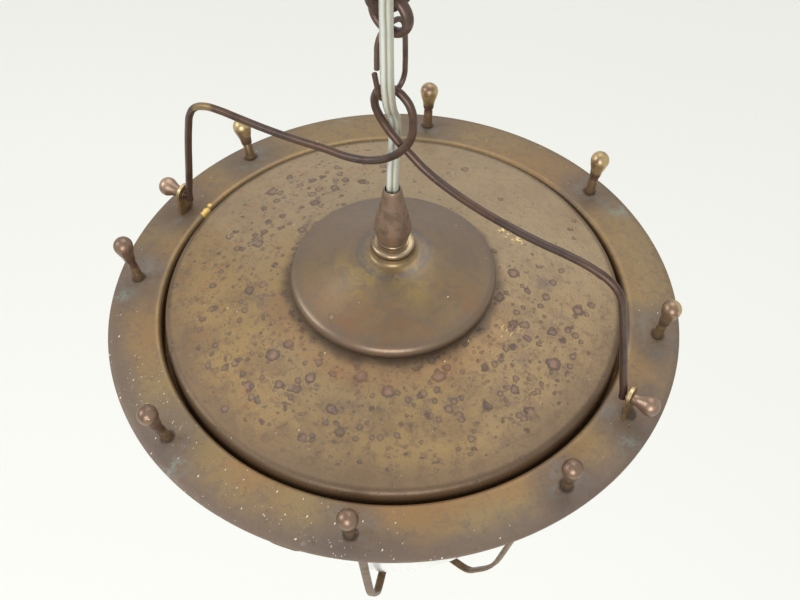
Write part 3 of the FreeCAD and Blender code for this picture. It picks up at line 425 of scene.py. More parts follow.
@dataclass(frozen=True)
class CoverPatina:
    """Lathe-turned brass cover, eaten by round purple-brown spots that crowd all but its back."""

    brass: Colour = paint(152, 129, 95)
    gold: Colour = paint(159, 133, 91)
    # Grey brass of the back, made lighter to paint the sheen that the back shows.
    grey: Colour = paint(162, 142, 113)
    brown: Colour = paint(118, 98, 80)
    orange: Colour = paint(158, 112, 74)
    pink: Colour = paint(166, 130, 114)
    spot: Colour = paint(112, 97, 91)
    # Dark brown of the standing wall, a painted shade.
    wall: Colour = paint(116, 91, 66)
    # Dark brown over the rounded shoulder, a painted shade.
    rim: Colour = paint(88, 71, 56)
    # Dark brown for spot outlines and grain, and for the painted shadow round the cap's foot.
    soot_and_shade: Colour = paint(72, 58, 52)
    bare: Colour = paint(238, 212, 148)
    dust: Colour = paint(236, 230, 216)
    patches: tuple[Spot, ...] = (
        (57.0, 36.1, 8.0), (73.0, 22.0, 7.5), (61.5, 6.5, 8.5), (66.9, -7.0, 6.5), (71.4, -25.5, 8.5),
        (54.3, -40.2, 10.0), (42.3, -53.1, 10.0), (-64.6, -19.8, 6.5), (-45.5, -37.8, 8.0),
        (-20.0, -58.0, 8.5), (18.0, -70.0, 9.5), (-38.0, -62.0, 7.5), (-52.0, 12.0, 7.0))
    bare_marks: tuple[Spot, ...] = ((28.3, 53.5, 3.6), (35.5, 52.5, 3.2), (57.5, 2.0, 1.6), (55.4, -2.5, 1.2))
    rust_marks: tuple[Spot, ...] = (
        (-90.1, -15.0, 8.0), (-78.0, 42.0, 6.0), (40.0, -28.0, 8.0), (6.0, -52.0, 8.0), (-76.0, -38.0, 9.0),
        (-60.0, -66.0, 9.0))

    def speckle(self, w: Wiring, scale: float, reach: float, crowd: Value, wobble: float) -> tuple[Value, ...]:
        """Ragged round spots of many sizes.

        Args:
            w: The material's wiring.
            scale: Cells to a metre.
            reach: The largest spot's radius, as a share of a cell.
            crowd: Share of the cells that hold a spot.
            wobble: How ragged the spots' edges are, in metres.

        Returns:
            The spot's body, its paler heart, and its dark outline.
        """
        shift = w.range(w.noise(scale * 3.4, 4.0, 0.65), -wobble, wobble)
        swing = w.range(w.noise(scale * 2.1, 3.0, 0.6), -wobble, wobble)
        x, y, z = w.parts(w.place)
        away, pick, size = w.cells(scale, w.join(x + shift, y + swing, z))
        shown = pick < crowd
        ratio = away / w.range(size * size, reach * 0.42, reach)
        body = w.step(ratio, 1.06, 0.86) * shown
        heart = w.step(ratio, 0.66, 0.3) * (shown * w.step(size, 0.35, 0.6))
        outline = w.step(ratio, 1.1, 0.96) * w.step(ratio, 0.66, 0.86) * shown
        return body, heart, outline

    def build(self) -> bpy.types.Material:
        """Wire the material."""
        w = Wiring("cover_patina")
        radius = w.radius()
        x, y, height = w.parts(w.place)
        broad, mid, fine = w.noise(14.0, 2.0), w.noise(60.0, 4.0, 0.6), w.noise(480.0, 5.0, 0.7)
        grain = w.noise(200.0, 6.0, 0.74, 0.5)
        front = x * 0.42 - y * 0.9
        left = x * -0.9 - y * 0.25
        # Golden brass towards the front; towards the back a lighter grey, partly patina and partly a painted
        # sheen.
        golden = w.step(front + w.range(broad, -0.03, 0.03), -0.055, 0.03)
        colour = w.mix(golden, self.grey, self.brass)
        angle = w.math("ARCTAN2", y, x)
        turned = w.noise(1.0, 4.0, 0.65, 0.4, w.join(radius * 900.0, angle * 5.0, 0.0))
        worn = w.range(golden, 0.35, 1.0)
        blotch = w.step(w.noise(42.0, 5.0, 0.65), 0.46, 0.62) * worn
        freckle = w.step(w.noise(230.0, 4.0, 0.7, 0.8), 0.56, 0.66)
        freckle = freckle * w.step(radius, 0.06, 0.08) * w.step(left, -0.02, 0.05)
        rust = w.any([w.blob(spot, mid, 0.9) for spot in self.rust_marks]) * w.step(grain, 0.4, 0.6)
        ragged_radius = radius + w.range(mid, -0.005, 0.005)
        edge = w.step(ragged_radius, 0.084, 0.1) * w.range(w.step(front, -0.03, 0.06), 0.06, 0.7)
        belt = w.step(ragged_radius, 0.097, 0.084) * w.step(ragged_radius, 0.044, 0.05)
        lean = w.any([w.step(front, -0.03, 0.03), w.step(left, 0.0, 0.045) * 0.8])
        patch_noise = w.noise(105.0, 4.0, 0.65, 0.6)
        patch = w.any([w.blob(spot, patch_noise, 0.8) for spot in self.patches])
        spread = belt * lean * w.range(w.step(w.noise(34.0, 2.0), 0.38, 0.58), 0.7, 1.2)
        crowd = w.math("ADD", spread + 0.06, patch * 0.4, clamp=True)
        body, heart, outline = self.speckle(w, 118.0, 0.42, crowd * 0.95, 0.002)
        body2, heart2, outline2 = self.speckle(w, 200.0, 0.42, crowd * 0.95, 0.0011)
        body3, _, outline3 = self.speckle(w, 380.0, 0.40, w.range(crowd, 0.10, 0.75), 0.0006)
        stained = patch * w.step(patch_noise, 0.46, 0.56)
        hearts = w.any([heart, heart2 * 0.6, stained * w.step(grain, 0.52, 0.6)])
        lines = w.any([outline, outline2 * 0.9, outline3 * 0.5])
        # Painted shadow round the cap's foot.
        shade = w.step(ragged_radius, 0.0520, 0.0455)
        halo = w.step(ragged_radius, 0.062, 0.054) * w.step(ragged_radius, 0.047, 0.051)
        streak_place = w.join(radius * 2600.0, angle * 7.0, 0.0)
        streaks = w.step(w.noise(1.0, 2.0, 0.6, 0.0, streak_place), 0.60, 0.70)
        scratch = streaks * w.blob((58.5, 4.5, 9.0), broad, 0.7)
        bare = w.any([w.blob(spot, w.noise(430.0, 4.0, 0.75), 0.3) for spot in self.bare_marks])
        bare = w.math("MAXIMUM", bare * w.step(w.noise(560.0, 4.0, 0.7), 0.52, 0.58), scratch)
        colour = w.coats(colour, [
            (golden * w.step(broad, 0.4, 0.62), self.gold), (w.step(turned, 0.52, 0.74) * 0.28, self.brown),
            (w.step(grain, 0.5, 0.6) * worn * 0.52, self.brown), (w.step(grain, 0.44, 0.34) * 0.45, self.gold),
            (blotch * 0.45, self.brown), (w.math("MAXIMUM", freckle, rust * 0.8) * 0.55, self.orange),
            (edge, self.brown), (stained * 0.58, self.spot), (body3 * 0.42, self.spot),
            (body2 * 0.54, self.spot), (body * 0.66, self.spot), (hearts * 0.62, self.pink),
            # The dark band on the shoulder is painted shade, and the soot band round the cap's foot is a
            # painted shadow.
            (lines * 0.38, self.soot_and_shade), (w.step(radius, 0.1, 0.1018) * 0.6, self.rim), (shade * 0.72, self.soot_and_shade),
            (halo * w.step(front, 0.0, 0.03) * 0.22, self.orange),
            # The standing wall is painted darker, as shade.
            (w.step(height, -0.2452, -0.2475), self.wall), (bare, self.bare),
            (w.step(fine, 0.55, 0.72) * 0.34, self.soot_and_shade)])
        colour = w.dust(colour, 560.0, 0.980, self.dust)
        colour = w.dust(colour, 900.0, 0.980, self.dust)
        marks = w.any([body, body2 * 0.7, body3 * 0.4])
        rough = w.math("ADD", w.range(grain, 0.32, 0.54), marks * 0.18, clamp=True)
        relief = turned * 0.35 + (grain + fine * 0.35)
        normal = w.bump(relief, 0.38, 0.0006)
        normal = w.bump(lines * 0.7 - marks, 0.55, 0.00025, normal)
        return w.finish(colour, rough, normal, Metallic=0.55)


@dataclass(frozen=True)
class CapPatina:
    """Smoother brown cap with a rolled grey rim and a dark stain round its hub."""

    olive: Colour = paint(134, 114, 87)
    brown: Colour = paint(130, 111, 93)
    red: Colour = paint(136, 101, 74)
    gold: Colour = paint(160, 136, 86)
    rim: Colour = paint(118, 104, 92)
    stain: Colour = paint(106, 101, 95)
    # Dark brown for spot rings and grain, and for painted shade under the rolled rim.
    soot_and_shade: Colour = paint(74, 64, 56)
    pink: Colour = paint(172, 142, 124)
    dust: Colour = paint(236, 230, 216)

    def build(self) -> bpy.types.Material:
        """Wire the material."""
        w = Wiring("cap_patina")
        radius = w.radius()
        x, y, height = w.parts(w.place)
        broad, mid, fine = w.noise(28.0, 2.0), w.noise(95.0, 4.0, 0.6), w.noise(600.0, 4.0, 0.7)
        front = x * 0.52 - y * 0.85
        colour = w.mix(w.step(front + w.range(broad, -0.02, 0.02), -0.018, 0.01), self.brown, self.olive)
        reddish = w.step(front, 0.004, 0.026) * w.step(w.noise(46.0, 3.0), 0.44, 0.6)
        ragged = radius + w.range(mid, -0.0022, 0.0022)
        golden = w.step(ragged, 0.033, 0.0225) * w.step(front, -0.008, 0.012)
        golden = golden * w.step(w.noise(60.0, 3.0), 0.36, 0.58)
        band = w.step(ragged, 0.0172, 0.016) * w.step(ragged, 0.0112, 0.0142)
        away, pick, size = w.cells(135.0)
        shown = pick > 0.88
        ratio = (away + w.range(w.noise(500.0, 3.0), -0.05, 0.05)) / w.range(size, 0.1, 0.24)
        ring = w.step(ratio, 1.15, 0.95) * w.step(ratio, 0.6, 0.85) * shown
        colour = w.coats(colour, [
            (reddish * 0.62, self.red), (golden * 0.6, self.gold),
            (band * w.step(w.noise(300.0, 5.0, 0.7), 0.34, 0.54) * 0.8, self.stain),
            (w.step(ragged, 0.0385, 0.044) * 0.5, self.rim),
            # Painted shade under the cap's rolled rim.
            (w.step(height, -0.2262, -0.2292) * 0.7, self.soot_and_shade),
            (shown * w.step(ratio, 1.0, 0.6) * 0.4, self.pink), (ring * 0.45, self.soot_and_shade),
            (w.step(w.noise(110.0, 6.0, 0.74, 0.8), 0.46, 0.6) * 0.52, self.rim),
            (w.step(fine, 0.56, 0.76) * 0.2, self.soot_and_shade)])
        colour = w.dust(colour, 520.0, 0.985, self.dust)
        rough = w.range(mid, 0.26, 0.44)
        normal = w.bump(fine * 0.3 + mid, 0.25, 0.0005)
        return w.finish(colour, rough, normal, Metallic=0.62)


@dataclass(frozen=True)
class KnobBrass:
    """Turned knobs: gold-brown stem, darker flare and a reddish ball, rubbed to gold on one side."""

    stem: Colour = paint(140, 117, 90)
    flare: Colour = paint(116, 93, 78)
    ball: Colour = paint(136, 112, 94)
    rubbed: Colour = paint(206, 182, 132)
    shadow: Colour = paint(70, 54, 46)
    dust: Colour = paint(240, 236, 226)

    def build(self) -> bpy.types.Material:
        """Wire the material, which reads how far up its knob a point is, 0 to 1, from the piece's points."""
        w = Wiring("knob_brass")
        rise = w.attribute("rise")
        x, y, _ = w.parts(w.place)
        broad, mid, fine = w.noise(120.0, 2.0), w.noise(260.0, 4.0, 0.6), w.noise(900.0, 3.0)
        colour = w.mix(w.step(rise, 0.42, 0.46), self.stem, self.flare)
        back = w.step(y, 0.030, 0.085)
        side = w.step(w.noise(95.0, 2.0, 0.5, 0.6), 0.56, 0.62)
        gold = w.math("MAXIMUM", side, back * w.step(broad, 0.3, 0.5)) * w.step(rise, 0.56, 0.72)
        crowd = w.step(x * -0.62 - y * 0.78, 0.055, 0.115)
        colour = w.coats(colour, [
            (w.step(rise + w.range(mid, -0.05, 0.05), 0.58, 0.76), self.ball), (gold * 0.72, self.rubbed),
            (w.step(mid, 0.5, 0.7) * 0.4, self.shadow), (w.step(fine, 0.56, 0.75) * 0.22, self.shadow)])
        colour = w.dust(colour, 820.0, w.range(crowd, 0.985, 0.90), self.dust)
        normal = w.bump(mid + fine * 0.4, 0.24, 0.0003)
        return w.finish(colour, w.range(mid, 0.24, 0.44), normal, Metallic=0.68)


@dataclass(frozen=True)
class TurnedBrass:
    """Small turned brass parts: reddish satin with golden upper faces, partly rubbed and partly a painted
    highlight, and dark grooves.
    """

    name: str
    body: Colour
    # Golden brass of the upper faces: partly rubbed, partly a painted highlight.
    rubbed: Colour
    shadow: Colour = paint(70, 54, 46)
    dust: Colour = paint(240, 236, 226)
    # How much of the upper faces turns golden, as rubbed brass and painted highlight.
    wear_and_highlight: float = 0.5
    scale: float = 90.0
    rough: float = 0.34

    def build(self) -> bpy.types.Material:
        """Wire the material."""
        w = Wiring(self.name)
        broad, mid = w.noise(self.scale * 0.35, 2.0), w.noise(self.scale * 2.2, 4.0, 0.6)
        fine = w.noise(900.0, 3.0)
        colour = w.mix(w.step(mid, 0.44, 0.70), self.body, self.shadow)
        geometry = w.tree.nodes.new("ShaderNodeNewGeometry")
        _, _, up = w.parts(Value(w, geometry.outputs["Normal"]))
        # Faces that point up turn golden: partly rubbed brass, partly a painted highlight from above.
        spared = self.wear_and_highlight * 0.3
        top = w.step(up, 0.25, 0.95) * w.step(broad, 0.6 - spared, 0.74 - spared)
        colour = w.coats(colour, [
            (0.55, self.body), (top * w.range(mid, 0.45, 1.15), self.rubbed),
            (w.step(fine, 0.55, 0.75) * 0.22, self.shadow)])
        colour = w.dust(colour, 760.0, 0.975, self.dust)
        rough = w.range(mid, self.rough - 0.08, self.rough + 0.12)
        return w.finish(colour, rough, w.bump(mid + fine * 0.4, 0.2, 0.0003), Metallic=0.7)


@dataclass(frozen=True)
class DarkWire:
    """Dark purplish-brown drawn wire with lengthwise streaks, flecks and one bend rubbed to brass."""

    name: str = "dark_wire"
    body: Colour = paint(84, 69, 63)
    warm: Colour = paint(92, 70, 58)
    deep: Colour = paint(58, 46, 41)
    fleck: Colour = paint(176, 160, 148)
    rubbed: Colour = paint(150, 126, 84)
    rubbed_spots: tuple[Spot, ...] = ((-96.0, 80.0, 7.5),)

    def build(self) -> bpy.types.Material:
        """Wire the material."""
        w = Wiring(self.name)
        mid, fine = w.noise(120.0, 4.0, 0.6), w.noise(1100.0, 4.0, 0.7)
        colour = w.mix(w.step(w.noise(38.0, 2.0), 0.42, 0.60), self.body, self.warm)
        colour = w.mix(w.step(mid, 0.46, 0.7) * 0.6, colour, self.deep)
        x, _, z = w.parts(w.place)
        for along, height, reach in self.rubbed_spots:
            away = w.distance(x - along * MM, z - (height - CEILING) * MM)
            share = w.step(away * w.range(mid, 0.6, 1.4), reach * MM, reach * MM * 0.5)
            colour = w.mix(share * w.range(w.noise(420.0, 3.0), 0.3, 1.2), colour, self.rubbed)
        colour = w.dust(colour, 800.0, 0.955, self.fleck)
        normal = w.bump(mid * 1.2 + fine * 0.5, 0.3, 0.00035)
        return w.finish(colour, w.range(mid, 0.26, 0.46), normal, Metallic=0.55)


@dataclass(frozen=True)
class WorkshopMetal:
    """Plain inner metal, such as plated nuts and spun brass, with fine brushing and dull blotches."""

    name: str
    body: Colour
    dull: Colour
    metallic: float = 0.85
    rough: float = 0.36

    def build(self) -> bpy.types.Material:
        """Wire the material."""
        w = Wiring(self.name)
        x, y, z = w.parts(w.place)
        brushed = w.noise(1.0, 3.0, 0.6, 0.0, w.join(x * 60.0, y * 60.0, z * 1800.0))
        blotch = w.noise(85.0, 4.0, 0.6)
        colour = w.mix(w.step(blotch, 0.44, 0.68), self.body, self.dull)
        colour = w.mix(w.step(brushed, 0.5, 0.8) * 0.25, colour, self.dull)
        return w.finish(colour, w.range(blotch, self.rough - 0.08, self.rough + 0.14),
                        w.bump(brushed, 0.18, 0.0002), Metallic=self.metallic)


@dataclass(frozen=True)
class OpalGlass:
    """White opal glass, faintly cloudy, with a soft gloss."""

    white: Colour = paint(232, 233, 230)
    cloud: Colour = paint(220, 222, 218)

    def build(self) -> bpy.types.Material:
        """Wire the material."""
        w = Wiring("opal_glass")
        cloud = w.noise(26.0, 3.0)
        colour = w.mix(w.step(cloud, 0.40, 0.66), self.white, self.cloud)
        return w.finish(colour, w.range(w.noise(60.0, 3.0), 0.10, 0.20), w.bump(cloud, 0.08, 0.0006),
                        Subsurface_Weight=0.35, Subsurface_Radius=(0.02, 0.02, 0.02), Coat_Weight=0.35,
                        Coat_Roughness=0.06)


@dataclass(frozen=True)
class FrostedBulb:
    """The bulb's frosted glass."""

    white: Colour = paint(244, 243, 238)
    grey: Colour = paint(226, 226, 222)

    def build(self) -> bpy.types.Material:
        """Wire the material."""
        w = Wiring("frosted_bulb")
        frost = w.noise(900.0, 4.0, 0.7)
        colour = w.mix(w.step(w.noise(30.0, 2.0), 0.4, 0.7), self.white, self.grey)
        normal = w.bump(frost, 0.15, 0.0001)
        return w.finish(colour, w.range(frost, 0.34, 0.50), normal, Transmission_Weight=0.25)


@dataclass(frozen=True)
class Moulding:
    """Moulded plastic, glazed porcelain or any other even body with a fine surface."""

    name: str
    body: Colour
    shade: Colour
    rough: float = 0.5
    grain: float = 1400.0

    def build(self) -> bpy.types.Material:
        """Wire the material."""
        w = Wiring(self.name)
        grain, blotch = w.noise(self.grain, 3.0, 0.6), w.noise(70.0, 3.0)
        colour = w.mix(w.step(blotch, 0.42, 0.68), self.body, self.shade)
        rough = w.range(grain, self.rough - 0.06, self.rough + 0.08)
        return w.finish(colour, rough, w.bump(grain, 0.2, 0.0001))


@dataclass(frozen=True)
class ClearSheath:
    """Clear flat flex: a pale silvery core and a yellowish core, each in its own lobe of sheath."""

    edge: Colour = paint(176, 178, 166)
    silver: Colour = paint(226, 228, 218)
    straw: Colour = paint(216, 212, 190)
    groove: Colour = paint(142, 141, 126)

    def build(self) -> bpy.types.Material:
        """Wire the material, which reads across (0 to 1) and along (metres) from the piece's own map."""
        w = Wiring("clear_sheath")
        across, along, _ = w.parts(Value(w, w.coords.outputs["UV"]))
        wander = w.range(w.noise(1.0, 2.0, 0.5, 0.0, w.join(along * 55.0, 0.0, 0.0)), -0.05, 0.05)
        strand = w.noise(1.0, 3.0, 0.6, 0.0, w.join(across * 16.0, along * 90.0, 0.0))
        place = across + wander
        left = w.step(place, 0.06, 0.2) * w.step(place, 0.44, 0.32)
        right = w.step(place, 0.54, 0.62) * w.step(place, 0.84, 0.7)
        colour = w.mix(left, self.edge, self.silver)
        middle = w.step(place, 0.44, 0.49) * w.step(place, 0.56, 0.51)
        normal = w.bump(w.noise(500.0, 2.0), 0.08, 0.0002)
        colour = w.coats(colour, [
            (right, self.straw), (middle * 0.85, self.groove), (w.step(strand, 0.5, 0.75) * 0.28, self.groove)])
        return w.finish(colour, w.range(strand, 0.18, 0.32), normal, Transmission_Weight=0.30, IOR=1.45,
                        Subsurface_Weight=0.25, Subsurface_Radius=(0.002, 0.002, 0.0015), Coat_Weight=0.4,
                        Coat_Roughness=0.12)


@dataclass(frozen=True)
class StudioFloor:
    """A plain pale floor."""

    pale: Colour = paint(241, 242, 237)
    shade: Colour = paint(239, 240, 235)

    def build(self) -> bpy.types.Material:
        """Wire the material."""
        w = Wiring("studio_floor")
        return w.finish(w.mix(w.noise(0.8, 2.0), self.pale, self.shade), 0.9)


class Finish(Enum):
    """The finishes of plain turned, drawn, spun and moulded pieces."""

    PIVOT = TurnedBrass("pivot_brass", paint(144, 119, 102), paint(188, 162, 134), wear_and_highlight=0.6, rough=0.34)
    COLLAR = TurnedBrass("collar_brass", paint(142, 122, 98), paint(196, 176, 142), wear_and_highlight=0.6, rough=0.27)
    NOZZLE = TurnedBrass("nozzle_brass", paint(146, 123, 105), paint(164, 140, 120), wear_and_highlight=0.2, rough=0.4)
    TAB = TurnedBrass("tab_brass", paint(146, 122, 88), paint(222, 200, 150), wear_and_highlight=1.0, rough=0.32)
    STRAP = TurnedBrass("strap_brass", paint(116, 90, 64), paint(146, 116, 82), wear_and_highlight=0.5, rough=0.42)
    LINK = DarkWire("link_wire", paint(96, 78, 70), paint(104, 80, 68), rubbed_spots=())
    SPUN = WorkshopMetal("spun_brass", paint(190, 160, 98), paint(150, 124, 78))
    PLATED = WorkshopMetal("plated_steel", paint(178, 178, 174), paint(134, 132, 126))
    PORCELAIN = Moulding("porcelain", paint(236, 232, 222), paint(220, 214, 200), 0.22)
    PLASTIC = Moulding("dark_plastic", paint(44, 40, 37), paint(30, 27, 25), 0.48)


# ------------------------------------------------------------------ shaping
class Workbench:
    """The bench tools: fresh primitives, rings pulled up one from another, bent wires and tidy ends."""

    @staticmethod
    def clear() -> None:
        """Deselect everything."""
        if bpy.context.object and bpy.context.object.mode != "OBJECT":
            bpy.ops.object.mode_set(mode="OBJECT")
        bpy.ops.object.select_all(action="DESELECT")

    @staticmethod
    def only(piece: bpy.types.Object) -> None:
        """Select one piece alone and make it active."""
        Workbench.clear()
        piece.select_set(True)
        bpy.context.view_layer.objects.active = piece

    @staticmethod
    def settle(piece: bpy.types.Object, angle: float = 38.0) -> bpy.types.Object:
        """Apply a piece's place, close its seams, turn its faces out and smooth it by angle."""
        Workbench.only(piece)
        bpy.ops.object.transform_apply(location=True, rotation=True, scale=True)
        Workbench.face_out(piece, SEAM)
        bpy.ops.object.shade_smooth_by_angle(angle=math.radians(angle))
        return piece

    @staticmethod
    def spun(name: str, rings: Sequence[Ring], segments: int, closed: bool) -> bpy.types.Object:
        """Pull a circle up through rings about +Z, in millimetres from the origin.

        Args:
            name: The piece's name.
            rings: (radius, height) of each ring.
            segments: Vertices round each ring.
            closed: Join the last ring to the first; otherwise both ends are capped.

        Returns:
            The piece, standing on the origin.
        """
        Workbench.clear()
        first_r, first_h = rings[0]
        bpy.ops.mesh.primitive_circle_add(vertices=segments, radius=first_r * MM, fill_type="NOTHING",
                                          location=(0, 0, first_h * MM))
        piece = bpy.context.object
        piece.name = name
        piece.data.name = name
        bpy.ops.object.transform_apply(location=True, rotation=True, scale=True)
        bpy.ops.object.mode_set(mode="EDIT")
        bpy.ops.mesh.select_all(action="SELECT")
        for (r0, h0), (r1, h1) in zip(rings, rings[1:]):
            bpy.ops.mesh.extrude_region_move(TRANSFORM_OT_translate={"value": (0, 0, (h1 - h0) * MM)})
            if abs(r1 - r0) > 1e-9:
                bpy.ops.transform.resize(value=(r1 / r0, r1 / r0, 1.0), center_override=(0, 0, h1 * MM))
        bpy.ops.mesh.select_all(action="DESELECT")
        bpy.ops.mesh.select_non_manifold()
        if closed:
            bpy.ops.mesh.bridge_edge_loops()
        else:
            bpy.ops.mesh.fill_holes(sides=0)
        bpy.ops.object.mode_set(mode="OBJECT")
        return piece

    @staticmethod
    def wavy(piece: bpy.types.Object, depth: float, size: float) -> None:
        """Push a piece's surface in and out a little, as beaten sheet is.

        Args:
            piece: The mesh.
            depth: Greatest movement, in millimetres.
            size: Size of the waves, in metres.
        """
        texture = bpy.data.textures.new(piece.name + "_waves", "CLOUDS")
        texture.noise_scale = size
        texture.noise_depth = 1
        Workbench.only(piece)
        waves = piece.modifiers.new("waves", "DISPLACE")
        waves.texture = texture
        waves.texture_coords = "LOCAL"
        waves.strength = 2 * depth * MM
        waves.mid_level = 0.5
        bpy.ops.object.modifier_apply(modifier=waves.name)

    @staticmethod
    def lathe(name: str, rings: Sequence[Ring], segments: int, closed: bool = True,
              waves: float = 0.0) -> bpy.types.Object:
        """A piece spun on the lamp's own axis, with heights above the crown's edge."""
        piece = Workbench.spun(name, rings, segments, closed)
        piece.location = at(0, 0, 0)
        Workbench.settle(piece)
        if waves:
            Workbench.wavy(piece, waves, 0.05)
        return piece

    @staticmethod
    def bent(name: str, knots: Sequence[Vector], handles: str, twist: str, smooth: int, edge: float,
             flat: float = 0.0, rounding: int = 5) -> bpy.types.Object:
        """Run a curve through knots, thicken it, and make it a closed mesh.

        Args:
            name: The piece's name.
            knots: The curve's points, in metres.
            handles: How the curve turns at a knot: AUTO for a bend, VECTOR for a corner.
            twist: How the section keeps its turn.
            smooth: Steps between two knots.
            edge: Radius of the section's round edge, in metres.
            flat: Half the section's flat width, in metres.
            rounding: Steps in the round edge.

        Returns:
            The piece.
        """
        Workbench.clear()
        bpy.ops.curve.primitive_bezier_curve_add()
        curve = bpy.context.object
        curve.name = name
        spline = curve.data.splines[0]
        spline.bezier_points.add(len(knots) - len(spline.bezier_points))
        for knot, place in zip(spline.bezier_points, knots):
            knot.co = place
            knot.handle_left_type = knot.handle_right_type = handles
        spline.resolution_u = smooth
        curve.data.dimensions = "3D"
        curve.data.twist_mode = twist
        curve.data.extrude = flat
        curve.data.bevel_depth = edge
        curve.data.bevel_resolution = rounding
        curve.data.use_fill_caps = True
        bpy.ops.object.convert(target="MESH")
        piece = bpy.context.object
        piece.data.name = name
        return piece

    @staticmethod
    def wire(name: str, points: Sequence[Vector], radius: float) -> bpy.types.Object:
        """Bend a round wire smoothly through points in metres, with its radius in millimetres."""
        piece = Workbench.bent(name, points, "AUTO", "MINIMUM", 10, radius * MM)
        return Workbench.settle(piece, 50.0)

    @staticmethod
    def strap(name: str, line: Sequence[Pair], width: float, thick: float) -> bpy.types.Object:
        """Bend a flat strap with rounded edges in the XZ plane.

        Args:
            name: The piece's name.
            line: Its middle line as (radius, height) points, in millimetres.
            width: Its width, in millimetres.
            thick: Its thickness, in millimetres.

        Returns:
            The strap.
        """
        knots = [Vector((radius * MM, height * MM, 0)) for radius, height in line]
        piece = Workbench.bent(name, knots, "VECTOR", "Z_UP", 1, thick / 2 * MM, (width - thick) / 2 * MM, 3)
        piece.matrix_world = Matrix.Rotation(math.radians(90), 4, "X")
        return Workbench.settle(piece, 50.0)

    @staticmethod
    def copied(master: bpy.types.Object, name: str) -> bpy.types.Object:
        """A copy of a piece, with a mesh of its own."""
        piece = master.copy()
        piece.data = master.data.copy()
        piece.name = piece.data.name = name
        bpy.context.collection.objects.link(piece)
        return piece

    @staticmethod
    def face_out(piece: bpy.types.Object, seam: float = 0.0) -> None:
        """Turn a piece's faces out, after closing gaps up to the seam, in metres."""
        Workbench.only(piece)
        bpy.ops.object.mode_set(mode="EDIT")
        bpy.ops.mesh.select_all(action="SELECT")
        if seam:
            bpy.ops.mesh.remove_doubles(threshold=seam)
        bpy.ops.mesh.normals_make_consistent(inside=False)
        bpy.ops.object.mode_set(mode="OBJECT")

    @staticmethod
    def dress(pieces: Sequence[bpy.types.Object], material: bpy.types.Material) -> None:
        """Give pieces one finish, and report each."""
        for piece in pieces:
            piece.data.materials.clear()
            piece.data.materials.append(material)
            log.info("%s is finished in %s", piece.name, material.name)


# ------------------------------------------------------------------ sub-assemblies
@dataclass
class Crown:
    """The coned ring with its rolled inner lip, wall and seat."""

    rings: tuple[Ring, ...] = (
        (130.0, -0.10), (129.85, 0.03), (127.0, 0.64), (124.0, 1.28), (120.0, 2.13), (116.0, 2.98),
        (112.0, 3.83), (109.4, 4.45), (108.4, 4.66), (107.5, 4.62), (106.7, 4.25), (106.1, 3.6),
        (105.72, 2.7), (105.6, 1.5), (105.6, -2.0), (105.6, -6.6), (105.4, -7.4), (104.6, -7.75),
        (101.0, -7.8), (97.2, -7.8), (97.0, -7.95), (97.0, -8.95), (97.2, -9.1), (102.0, -9.1), (105.8, -9.1),
        (106.7, -8.8), (106.9, -8.0), (106.9, -4.0), (106.9, 1.6), (107.3, 2.9), (108.4, 3.35), (112.0, 2.5),
        (120.0, 0.8), (129.6, -1.24), (129.95, -1.2))

    def build(self) -> bpy.types.Object:
        """Spin the ring and hang it on the crown."""
        piece = Workbench.lathe("crown_shell", self.rings, 256, waves=0.16)
        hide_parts("crown_ring")
        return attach(piece, "crown")


@dataclass
class BallKnob:
    """A turned ball knob: stud, stem, flared neck and ball, standing along +Z."""

    height: float = 19.0
    stem_top: float = 9.6
    ball: float = 4.5
    stud: float = 9.0

    def rings(self) -> list[Ring]:
        """The knob's outline."""
        h, b, top = self.height, self.ball, self.stem_top
        outline = [(POLE, -self.stud), (1.55, -self.stud), (1.75, 0.25 - self.stud), (1.75, -0.06), (2.20, 0.0),
                   (2.25, 0.3), (2.20, top - 0.9), (2.05, top - 0.25), (2.10, top), (2.52, top + 0.12),
                   (2.60, top + 0.5), (2.72, top + 1.6),
                   (2.98, h - 6.0), (3.36, h - 4.6), (3.78, h - 3.3), (4.12, h - 2.1)]
        for degrees in range(-22, 90, 11):
            turn = math.radians(degrees)
            outline.append((b * math.cos(turn), h + b * math.sin(turn)))
        return outline + [(POLE, h + b)]

    def build(self, name: str) -> bpy.types.Object:
        """Turn the knob, standing on the origin, and note on its points how far up each one is."""
        knob = Workbench.spun(name, self.rings(), 32, False)
        rise = knob.data.attributes.new("rise", "FLOAT", "POINT")
        for vertex, mark in zip(knob.data.vertices, rise.data):
            mark.value = min(max(vertex.co.z / (self.height * MM), 0.0), 1.0)
        return knob


@dataclass
class CrownKnobs:
    """The eight knobs round the crown, each screwed down and leaning a little differently."""

    circle: float = 119.8
    slope: float = 12.0
    edge: float = 130.0
    first: float = 22.5
    heights: tuple[float, ...] = (18.9, 19.5, 19.7, 17.6, 21.7, 22.5, 18.3, 14.8)
    leans: tuple[float, ...] = (11.6, 12.2, 14.3, 19.0, 11.0, 15.5, 12.0, 7.0)

    def build(self) -> list[bpy.types.Object]:
        """Copy one knob to each place, with its own stem length and lean."""
        pattern = BallKnob()
        master = pattern.build("crown_knob")
        foot = (self.edge - self.circle) * math.tan(math.radians(self.slope))
        knobs = []
        for k, (height, lean) in enumerate(zip(self.heights, self.leans)):
            knob = Workbench.copied(master, "crown_knob_%d" % (k + 1))
            for vertex in knob.data.vertices:
                if vertex.co.z > (pattern.stem_top - 0.1) * MM:
                    vertex.co.z += (height - pattern.height) * MM
            turn = Matrix.Rotation(math.radians(self.first + 45.0 * k), 4, "Z")
            tilt = Matrix.Rotation(math.radians(lean), 4, "Y")
            stand = Matrix.Translation(Vector((self.circle * MM, 0, foot * MM)))
            knob.matrix_world = Matrix.Translation(at(0, 0, 0)) @ turn @ stand @ tilt
            Workbench.settle(knob)
            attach(knob, "crown")
            knobs.append(knob)
        bpy.data.objects.remove(master)
        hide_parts("ring_knobs")
        return knobs


